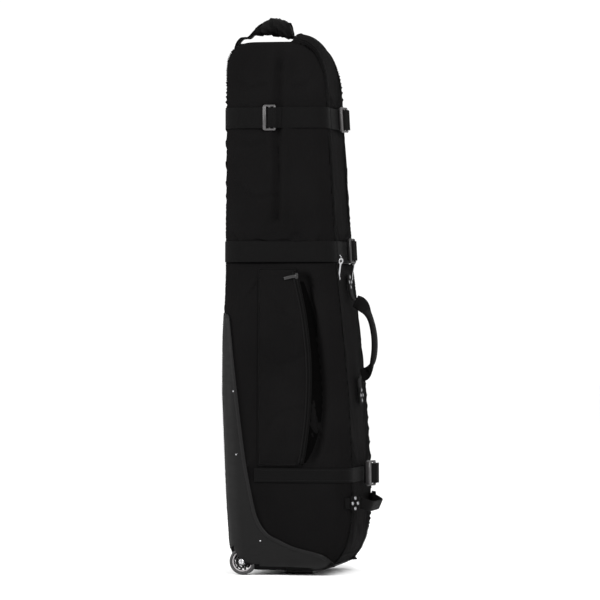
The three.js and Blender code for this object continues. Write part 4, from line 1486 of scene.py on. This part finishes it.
def add_boot():
    """The moulded shell, cut open over the wheels, and everything fixed to it."""
    grid = wheel_recess(boot_grid(BOOT_OFF + BOOT_T))
    centre = np.array([0, SHIFT + 0.02, 0.35])
    normals = grid_normals(grid, grid - centre)
    swell = 0.0007 * wrinkle(grid, 7, 40.0)
    grid = grid + normals * swell[..., None]
    shell = slab("boot", grid, normals, BOOT_T, BOOT, 0.0006)
    for side, word in SIDES:
        axle = box_centre("tyre_" + word)
        well = lathe("well", [(0, 0), (0.0430, 0), (0.0430, 0.0335), (0, 0.0335)],
                     (side * 0.1115, axle[1], axle[2]), BOOT, 96, "X", side)
        boolean_cut(shell, well)
        gap = extruded("gap", EAR_GAP, 0, 0.06, BOOT, 0.0001)
        gap.data.transform(Matrix.Rotation(math.pi / 2, 4, "Z"))
        gap.data.transform(Matrix.Translation((side * 0.144 + 0.06 * (side > 0), axle[1],
                                               axle[2])))
        boolean_cut(shell, gap)
    finish_piece(shell, "case", ["boot_shell"])
    for side, word in SIDES:
        add_boot_lip(side, word)
    add_back_rivets()
    add_back_ribs()
    add_skid()


def boolean_cut(obj, cutter):
    cut = obj.modifiers.new("cut", "BOOLEAN")
    cut.operation, cut.solver, cut.object = "DIFFERENCE", "MANIFOLD", cutter
    apply_modifiers(obj)
    bpy.data.objects.remove(cutter)


LIP = ((-0.0004, 0.0036), (0.0004, 0.0052), (0.0022, 0.0058), (0.0060, 0.0054),
       (0.0085, 0.0046), (0.0100, 0.0036))       # (inward from the edge, height above the fabric)
LIP_RIVETS = ((0.124, 0.436), (0.116, 0.286), (0.056, 0.082))


def add_boot_lip(side, word):
    """A raised lip along the flange, in a lighter plastic that paints the highlight along the
    flange's edge, and the rivets that hold the boot to the fabric.
    """
    flat = flange_line(300)[6:-10]
    inward = unit(np.stack([-np.gradient(flat[:, 1]), np.gradient(flat[:, 0])], axis=1))
    if inward[40, 0] < 0:
        inward = -inward
    grid = np.array([side_grid(flat + inward * shift, side, rise) for shift, rise in LIP])
    normals = grid_normals(grid, (side, 0, 0))
    made = [slab("boot_lip_" + word, grid, normals, 0.0018, BOOT_LIP_HIGHLIGHT)]
    for y, z in LIP_RIVETS:
        point = side_grid(np.array([[y + SHIFT, z]]), side, 0.0042)[0]
        made += domed_rivet(point, (side, 0, 0), 0.0022, 0.0011, 0.0031)
    finish_piece(join("boot_lip_" + word, made), "case", ["boot_edge_" + word])


def add_back_rivets():
    made = []
    for x in (-0.085, 0.0, 0.085):
        s = np.array([float(arc_back(0.530))])
        point = strip_point(s, np.array([x]), 0.0046)[0]
        made += domed_rivet(point, outward_at(s)[0], 0.0042, 0.0020, 0.0056)
    finish_piece(join("boot_back_rivets", made), "case")


def add_back_ribs():
    """Four raised ribs down the boot's back, fading out at both ends."""
    ribs = []
    for x in (-0.066, -0.022, 0.022, 0.066):
        s = np.linspace(float(arc_back(0.110)), float(arc_back(0.490)), 60)
        line = strip_point(s, np.full_like(s, x), 0.0030)
        fade = np.sin(np.clip(np.minimum(np.arange(60), 59 - np.arange(60)) / 5, 0, 1)
                      * math.pi / 2)
        ribs.append(sweep("rib", line, (1, 0, 0), round_section(0.0052, 12, 0.5), BOOT,
                          scale=np.maximum(fade, 0.15)))
    finish_piece(join("boot_back_ribs", ribs), "case")


def add_skid():
    """The foot below the front of the boot: a rounded block with three moulded runners."""
    low, high = (np.array(c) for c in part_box("foot_skid"))
    size = high - low
    outline = ((-0.9, -1), (0.9, -1), (1, -0.6), (0.985, 1), (-0.985, 1), (-1, -0.6))
    block = extruded("block", [(u * size[0] / 2, v * size[2] / 2 + (low[2] + high[2]) / 2)
                               for u, v in outline], low[1], high[1], DARK_LOCK, 0.0016)
    runners = []
    for share in (0.2, 0.5, 0.8):
        line = [(size[0] * reach, low[1] + size[1] * share, low[2] + 0.0034)
                for reach in (-0.42, 0, 0.42)]
        runners.append(sweep("runner", line, (0, 1, 0), round_section(0.0034, 12, 0.45), TYRE))
    finish_piece(join("skid", [block, *runners]), "case", ["foot_skid"])


# ---------------------------------------------------------------- wheels


def add_wheels():
    for side, word in SIDES:
        axle = box_centre("tyre_" + word)
        add_tyre(word, axle)
        add_hub(word, axle)
        add_bearing(word, axle)
        add_axle_bolt(side, word, axle)
        add_housing(side, word, axle)


def add_tyre(word, axle):
    tread = [(0.0250, -0.0100), (0.0262, -0.0112), (0.0288, -0.0119), (0.0306, -0.0106),
             (0.0315, -0.0080), (0.0319, -0.0040), (0.0320, 0.0), (0.0319, 0.0040),
             (0.0315, 0.0080), (0.0306, 0.0106), (0.0288, 0.0119), (0.0262, 0.0112),
             (0.0250, 0.0100), (0.0247, 0.0), (0.0250, -0.0100)]
    tyre = lathe("tyre_" + word + "_skin", tread, axle, TYRE, 96)
    finish_piece(tyre, "wheel_" + word[0], ["tyre_" + word])


def add_hub(word, axle):
    """Rim, middle ring and core, joined by twelve outer and six inner spokes."""
    parts = [lathe("rim", [(0.0216, -0.0090), (0.0222, -0.0098), (0.0238, -0.0099),
                           (0.0245, -0.0088), (0.0246, 0.0), (0.0245, 0.0088),
                           (0.0238, 0.0099), (0.0222, 0.0098), (0.0216, 0.0090),
                           (0.0214, 0.0), (0.0216, -0.0090)], axle, RIM, 96),
             lathe("mid_ring", [(0.0146, -0.0074), (0.0172, -0.0074), (0.0174, 0.0),
                                (0.0172, 0.0074), (0.0146, 0.0074), (0.0144, 0.0),
                                (0.0146, -0.0074)], axle, HUB, 80),
             lathe("core", [(0.0083, -0.0092), (0.0104, -0.0092), (0.0110, -0.0084),
                            (0.0110, 0.0084), (0.0104, 0.0092), (0.0083, 0.0092),
                            (0.0083, -0.0092)], axle, HUB, 64)]
    for count, low, high, thick in ((12, 0.0168, 0.0222, 0.0024), (6, 0.0104, 0.0150, 0.0028)):
        for i in range(count):
            angle = (i + 0.5) / count * math.tau
            direction = np.array([0, math.cos(angle), math.sin(angle)])
            spoke = sweep("spoke", [axle + direction * low, axle + direction * (low + high) / 2,
                                    axle + direction * high], (1, 0, 0),
                          strap_section(0.0150, thick, 0.4), HUB)
            parts.append(spoke)
    finish_piece(join("hub_" + word, parts), "wheel_" + word[0],
                 ["wheel_hub_" + word])


def add_bearing(word, axle):
    bearing = [lathe("race", [(0.0064, -0.0088), (0.0080, -0.0088), (0.0080, 0.0088),
                              (0.0064, 0.0088), (0.0064, -0.0088)], axle, STEEL, 48),
               lathe("shield", [(0.0044, -0.0084), (0.0066, -0.0080), (0.0066, 0.0080),
                                (0.0044, 0.0084), (0.0044, -0.0084)], axle, RIVET_DARK, 48)]
    finish_piece(join("bearing_" + word, bearing), "wheel_" + word[0],
                 ["wheel_bearings_" + word])


def add_axle_bolt(side, word, axle):
    """A bolt with a flat head and a hexagonal socket, its face outward."""
    low, high = (np.array(c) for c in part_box("axle_bolt_" + word))
    face = low[0] if side < 0 else high[0]
    inner = high[0] if side < 0 else low[0]
    length = abs(face - inner)
    profile = [(0, 0), (0.0040, 0), (0.0040, length - 0.0036), (0.0062, length - 0.0036),
               (0.0066, length - 0.0030), (0.0066, length - 0.0014), (0.0060, length - 0.0005),
               (0.0046, length), (0, length)]
    bolt = lathe("bolt_" + word, profile, (inner, axle[1], axle[2]), SILVER, 48, "X", side)
    socket = lathe("socket", [(0, length - 0.0024), (0.0027, length - 0.0024),
                              (0.0027, length + 0.002), (0, length + 0.002)],
                   (inner, axle[1], axle[2]), SILVER, 6, "X", side)
    boolean_cut(bolt, socket)
    finish_piece(bolt, "case", ["axle_bolt_" + word])


ARCH_R = 0.0425            # outer radius of the arch over a wheel


def add_housing(side, word, axle):
    """Wheel well: the arch over the wheel and the inner ear that carries the bolt's far end."""
    low, high = (np.array(c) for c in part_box("wheel_housing_" + word))
    outer = max(abs(low[0]), abs(high[0]))
    inner = min(abs(low[0]), abs(high[0]))

    def around(r, angle, x):
        return (side * x, axle[1] + r * math.cos(angle), axle[2] + r * math.sin(angle))

    angles = np.linspace(math.pi * 1.04, 0.42 * math.pi, 60)
    section = [(inner + 0.002, ARCH_R), (outer - 0.0005, ARCH_R),
               (outer - 0.0005, ARCH_R - 0.0030), (inner + 0.002, ARCH_R - 0.0042)]
    rings = np.array([[around(r, a, x) for x, r in section] for a in angles])
    arch = add_object("arch", rings.reshape(-1, 3), tube_faces(*rings.shape[:2]), BOOT)
    fix_normals(arch)
    wall_line = [(-ARCH_R + 0.0005, -0.012)]
    wall_line += [((ARCH_R - 0.0005) * math.cos(a), (ARCH_R - 0.0005) * math.sin(a))
                  for a in np.linspace(math.pi, math.pi * 0.36, 30)]
    wall_line += [(0.0108, 0.0180), (0.0104, 0.0072)]
    wall_line += [(0.0105 * math.cos(a), 0.0105 * math.sin(a))
                  for a in np.linspace(0.60, -math.pi * 0.60, 16)]
    wall_line += [(-0.012, -0.0125), (-0.024, -0.0150)]
    wall = extruded("wall", wall_line, 0, 0.0040, BOOT, 0.0006, [circle(0.0044, 20)])
    wall.data.transform(Matrix.Rotation(math.pi / 2, 4, "Z"))
    place_x = side * inner + (0.0040 if side > 0 else 0.0)
    wall.data.transform(Matrix.Translation((place_x, axle[1], axle[2])))
    housing = join("housing_" + word, [arch, wall])
    finish_piece(housing, "case", ["wheel_housing_" + word])


# ---------------------------------------------------------------- side pockets

POCKET_LOW, POCKET_HIGH = 0.262, 0.727
POCKET_BACK = 0.062


def pocket_front(z):
    """The free front edge of the pocket, bowed forward by its contents."""
    t = np.clip((z - POCKET_LOW) / (POCKET_HIGH - POCKET_LOW), 0, 1)
    return -0.026 - 0.030 * np.sin(math.pi * t) ** 0.8 - 0.018 * (1 - t)


def pocket_sheet(side):
    """The pouch's cloth: tight along its back, top and bottom seams, slack at its open mouth."""
    rows, cols = 120, 52
    z = spread_over(POCKET_LOW, POCKET_HIGH, rows, 0.6)[:, None]
    v = spread_over(0, 1, cols, 0.6)[None, :]
    y_case = POCKET_BACK + (pocket_front(z) - POCKET_BACK) * v
    z = np.broadcast_to(z, y_case.shape)
    ends = np.clip(np.minimum(z - POCKET_LOW, POCKET_HIGH - z) / 0.055, 0, 1)
    ends = np.sqrt(1 - (1 - ends) ** 2)
    belly = np.clip(v / 0.30, 0, 1)
    belly = np.sqrt(1 - (1 - belly) ** 2)
    mouth = 1 - 0.30 * smoothstep(v, 0.72, 1.0)
    rise = 0.0030 + 0.0125 * ends * belly * mouth
    y = y_case + SHIFT
    grid = np.stack([side * (side_x(y, z) + rise), y, z], axis=-1)
    normals = grid_normals(grid, (side, 0, 0))
    crease = 0.0030 * wrinkle(grid, 16, 51.0 + side, (1, 1, 0.5))
    crease += 0.0016 * wrinkle(grid, 40, 60.0 + side, (1, 1, 0.6))
    pull = 0.0030 * fold_line(y, z, [(0.055, 0.70), (0.020, 0.64), (-0.030, 0.60)], 0.007)
    pull += 0.0026 * fold_line(y, z, [(0.056, 0.32), (0.010, 0.38), (-0.050, 0.40)], 0.008)
    pull += 0.0024 * fold_line(y, z, [(0.050, 0.52), (0.010, 0.50), (-0.060, 0.53)], 0.007)
    grid = grid + normals * ((crease - pull) * ends * belly)[..., None]
    sewn = border(rows, cols)
    sewn[2:-2, -1] = False
    return drape(grid, normals, sewn, 0.03, 2.0, 0.007), normals


def add_pocket(side, word):
    """A sewn pouch with a hem and welts, its gusset wall, zip coil, zip tab, and a near-black sheet
    of painted shade in front of its mouth.
    """
    grid, normals = pocket_sheet(side)
    panel = slab("pocket", grid, normals, 0.0024, POCKET_FABRIC, 0.0004)
    hem_path = grid[4:-4, -1] + normals[4:-4, -1] * 0.0002
    hem = sweep("hem", hem_path, (side, 0, 0), strap_section(0.0046, 0.0100, 0.5), PIPING)
    cords = [hem]
    for edge, out in ((grid[:, 0], normals[:, 0]), (grid[0], normals[0]), (grid[-1], normals[-1])):
        cords.append(sweep("welt", edge + out * 0.0003, (side, 0, 0), round_section(0.0021, 8),
                           PIPING))
    wall = pocket_wall(grid, side)
    coil_path = hem_path + normals[4:-4, -1] * 0.0014 + np.array([0, 0.007, 0])
    coil = sweep("coil", coil_path, (0, 1, 0), strap_section(0.0046, 0.0020), COIL)
    tab = pocket_tab(grid[-9, -5], side)
    mouth_shade_sheet = painted_mouth_shade(side)
    pocket = join("pocket_" + word, [panel, *cords, wall, coil, mouth_shade_sheet, *tab])
    finish_piece(pocket, "case", ["side_pocket_" + word])
    inset = 3
    runs = [(grid[part] + normals[part] * 0.0003, normals[part]) for part in
            ((slice(2, -2), inset), (inset, slice(2, -2)), (-inset - 1, slice(2, -2)),
             (slice(2, -2), -6))]
    stitches("pocket_stitches_" + word, runs, "case")


def pocket_wall(grid, side):
    """The gusset that folds back from the mouth to the side panel, in the darker zip-tape cloth as
    painted shade in the mouth's recess.
    """
    edge = grid[3:-3, -1]
    rows = []
    base_x = side_x(edge[:, 1], edge[:, 2])
    for t in (0.0, 0.2, 0.5, 0.8, 1.0):
        line = edge.copy()
        line[:, 0] = side * (np.abs(edge[:, 0]) * (1 - t) + (base_x + 0.0008) * t)
        line[:, 1] += 0.006 * math.sin(math.pi * t) + 0.0015
        rows.append(line)
    wall = np.array(rows)
    normals = grid_normals(wall, (0, -1, 0))
    # the zip-tape cloth is darker than the pocket's own: painted shade in the recess behind the
    # mouth
    return slab("wall", wall, normals, 0.0010, TAPE)


def painted_mouth_shade(side):
    """Near-black cloth laid on the side panel in front of the mouth, widest at its middle: painted
    shade for the shadowed groove there.
    """
    rows, cols = 90, 12
    z = np.linspace(POCKET_LOW + 0.006, POCKET_HIGH - 0.030, rows)[:, None]
    v = np.linspace(0, 1, cols)[None, :]
    t = (z - POCKET_LOW) / (POCKET_HIGH - POCKET_LOW)
    width = 0.004 + 0.025 * np.sin(math.pi * np.clip(t, 0, 1) ** 0.75) ** 1.1
    y = pocket_front(z) + 0.006 - (width + 0.006) * v + SHIFT
    z = np.broadcast_to(z, y.shape)
    plain = np.stack([side * side_x(y, z), y, z], axis=-1)
    normals = grid_normals(plain, (side, 0, 0))
    ripple = 0.0007 * np.sin(z * 240 + 3 * v) * np.sin(math.pi * v)
    lift = side_relief(plain, side) + 0.0012 + ripple
    return slab("mouth_shade_sheet", plain + normals * lift[..., None], normals, 0.0008, MOUTH_SHADE)


def pocket_tab(spot, side):
    """The zip's tab: a short webbing tongue through a metal slider."""
    slider = extruded("slider", stadium(0.0032, 0.0065), -0.0016, 0.0016, DARK_LOCK, 0.0006)
    slider.data.transform(Matrix.Rotation(math.pi / 2, 4, "Z"))
    slider.data.transform(Matrix.Translation((spot[0] + side * 0.0030, spot[1] - 0.004, spot[2])))
    path = np.array([spot + np.array([side * a, b, c]) for a, b, c in
                     ((0.0040, -0.004, 0.000), (0.0056, 0.004, -0.001),
                      (0.0052, 0.014, -0.003), (0.0040, 0.026, -0.006))])
    tongue = sweep("tongue", smooth_path(path, 16), (0, 0, 1), strap_section(0.0075, 0.0018),
                   DARK_LOCK)
    return [slider, tongue]


# ---------------------------------------------------------------- padding and lining

PAD_OUT, PAD_T = -0.0035, 0.0085
PAD_GAP = 0.0016           # play between the fabric and the pads of the gusset


def quilt(u, v, pitch=0.075):
    """Depth of the sewn diamonds in the lining, from -1 in a seam to 0 on a pad."""
    a, b = (u + v) / pitch, (u - v) / pitch
    near = np.minimum(np.abs(a - np.round(a)), np.abs(b - np.round(b)))
    return -np.exp(-(near / 0.055) ** 2)


def quilted_slab(name, grid, normals, thickness=PAD_T):
    """A pad whose inner face is quilted and whose outer face lies smooth on the shell."""
    uv = grid_uvs(grid)
    dimple = 0.0022 * quilt(uv[..., 0], uv[..., 1])
    rows, cols = grid.shape[:2]
    inner = grid - normals * (thickness + dimple)[..., None]
    outer_first = slab(name, grid, normals, thickness, LINING)
    mesh = outer_first.data
    count = rows * cols
    points = np.zeros(len(mesh.vertices) * 3)
    mesh.vertices.foreach_get("co", points)
    points = points.reshape(-1, 3)
    points[count:2 * count] = inner.reshape(-1, 3)
    mesh.vertices.foreach_set("co", points.reshape(-1))
    return outer_first


def pad_strip(name, s0, s1, x0, x1, rows, cols):
    grid, normals = gusset_sheet(s0, s1, x0, x1, rows, cols, PAD_OUT - PAD_GAP)
    return quilted_slab(name, grid, normals, PAD_T - PAD_GAP)


def pad_side(name, flat, side):
    grid = side_grid(flat, side, PAD_OUT - 0.0150)
    return quilted_slab(name, grid, grid_normals(grid, (side, 0, 0)), PAD_T - 0.0030)


def shrink(flat, margin=0.012):
    """Draws a side grid in from its seams, so that the pads meet inside the shell."""
    centre = flat.mean(axis=(0, 1))
    away = flat - centre
    span = np.abs(away).max(axis=(0, 1))
    return centre + away * (1 - margin / span)


def add_padding():
    inner = SEAM - 0.001
    lower = [pad_strip("pad", S_WAIST_FRONT + 0.004, S_FOOT, -inner, inner, 120, 44),
             pad_strip("pad", S_FOOT, S_BACK_LOW + PERIMETER, -inner, inner, 60, 44),
             pad_strip("pad", S_BACK_LOW, float(arc_back(WAIST_Z - 0.004)), -inner, inner, 120, 44)]
    for side in (-1, 1):
        lower.append(pad_side("pad", shrink(lower_side_flat(110, 60)), side))
    low_pad = join("lower_lining", lower)
    finish_piece(low_pad, "case", ["lower_padding"])

    upper = [pad_strip("pad", float(arc_back(WAIST_Z + 0.004)), S_TOP_BACK, -inner, inner, 100, 44),
             pad_strip("pad", S_TOP_BACK, S_COVER_END - 0.004, -inner, inner, 50, 44)]
    for side in (-1, 1):
        upper.append(pad_side("pad", shrink(upper_side_flat(110, 56)), side))
        upper.append(pad_strip("pad", S_COVER_END, S_WAIST_FRONT - 0.004, side * 0.091,
                               side * inner, 110, 5))
    up_pad = join("upper_lining", upper)
    finish_piece(up_pad, "case", ["upper_padding"])

    cover_pad = pad_strip("cover_lining", S_COVER_END + 0.004, S_WAIST_FRONT - 0.004,
                          -COVER_HALF + 0.004, COVER_HALF - 0.004, 120, 44)
    finish_piece(cover_pad, "cover", ["front_cover_padding"])


def add_waist_fold():
    """The fabric hinge below the cover: a soft strip sewn to both sides of the waist seam."""
    half = COVER_HALF - 0.004
    grid, normals = gusset_sheet(S_WAIST_FRONT + 0.020, S_WAIST_FRONT - 0.020, -half, half,
                                 26, 30, -0.0034)
    fold = slab("waist_fold", grid, normals, 0.0014, LINING)
    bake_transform(fold)


# ---------------------------------------------------------------- light and floor


def area_light(name, place, aim, size, power):
    data = bpy.data.lights.new(name, "AREA")
    data.shape = "RECTANGLE"
    data.size, data.size_y = size
    data.energy = power
    light = bpy.data.objects.new(name, data)
    light.location = place
    light.rotation_euler = (Vector(aim) - Vector(place)).to_track_quat("-Z", "Y").to_euler()
    bpy.context.collection.objects.link(light)
    return light


def add_light():
    world = bpy.data.worlds.new("studio")
    world.use_nodes = True
    world.node_tree.nodes["Background"].inputs["Color"].default_value = (1, 1, 1, 1)
    world.node_tree.nodes["Background"].inputs["Strength"].default_value = 1.06
    bpy.context.scene.world = world
    aim = (0, 0, 0.7)
    lights = [area_light("key", (-2.6, -1.6, 2.6), aim, (1.2, 2.0), 140),
              area_light("front", (-0.6, -3.2, 1.4), aim, (1.0, 2.4), 8),
              area_light("rear", (-1.6, 2.8, 1.9), aim, (1.0, 2.4), 95),
              area_light("top", (0, 0.2, 3.4), aim, (2.4, 2.4), 20)]


def add_floor():
    bpy.ops.mesh.primitive_plane_add(size=40, location=(0, 0, -0.0005))
    floor = bpy.context.object
    floor.name = "floor"
    m = Nodes("floor_paint", (0.95, 0.95, 0.95), 0.8)
    floor.data.materials.append(m.material)
    view = bpy.context.scene.view_settings
    view.view_transform, view.look = "Standard", "None"


# ---------------------------------------------------------------- build

add_shell()
add_piping()
add_zip()
for hand, hand_name in SIDES:
    add_zip_slider(hand_name)
    add_zip_puller(hand, hand_name)
    add_pocket(hand, hand_name)
add_straps()
add_locks()
add_boot()
add_wheels()
add_rivets()
add_carry_handle()
add_top_strap()
add_top_grip()
add_top_anchors()
add_foot_handle()
add_padding()
add_waist_fold()
add_light()
add_floor()
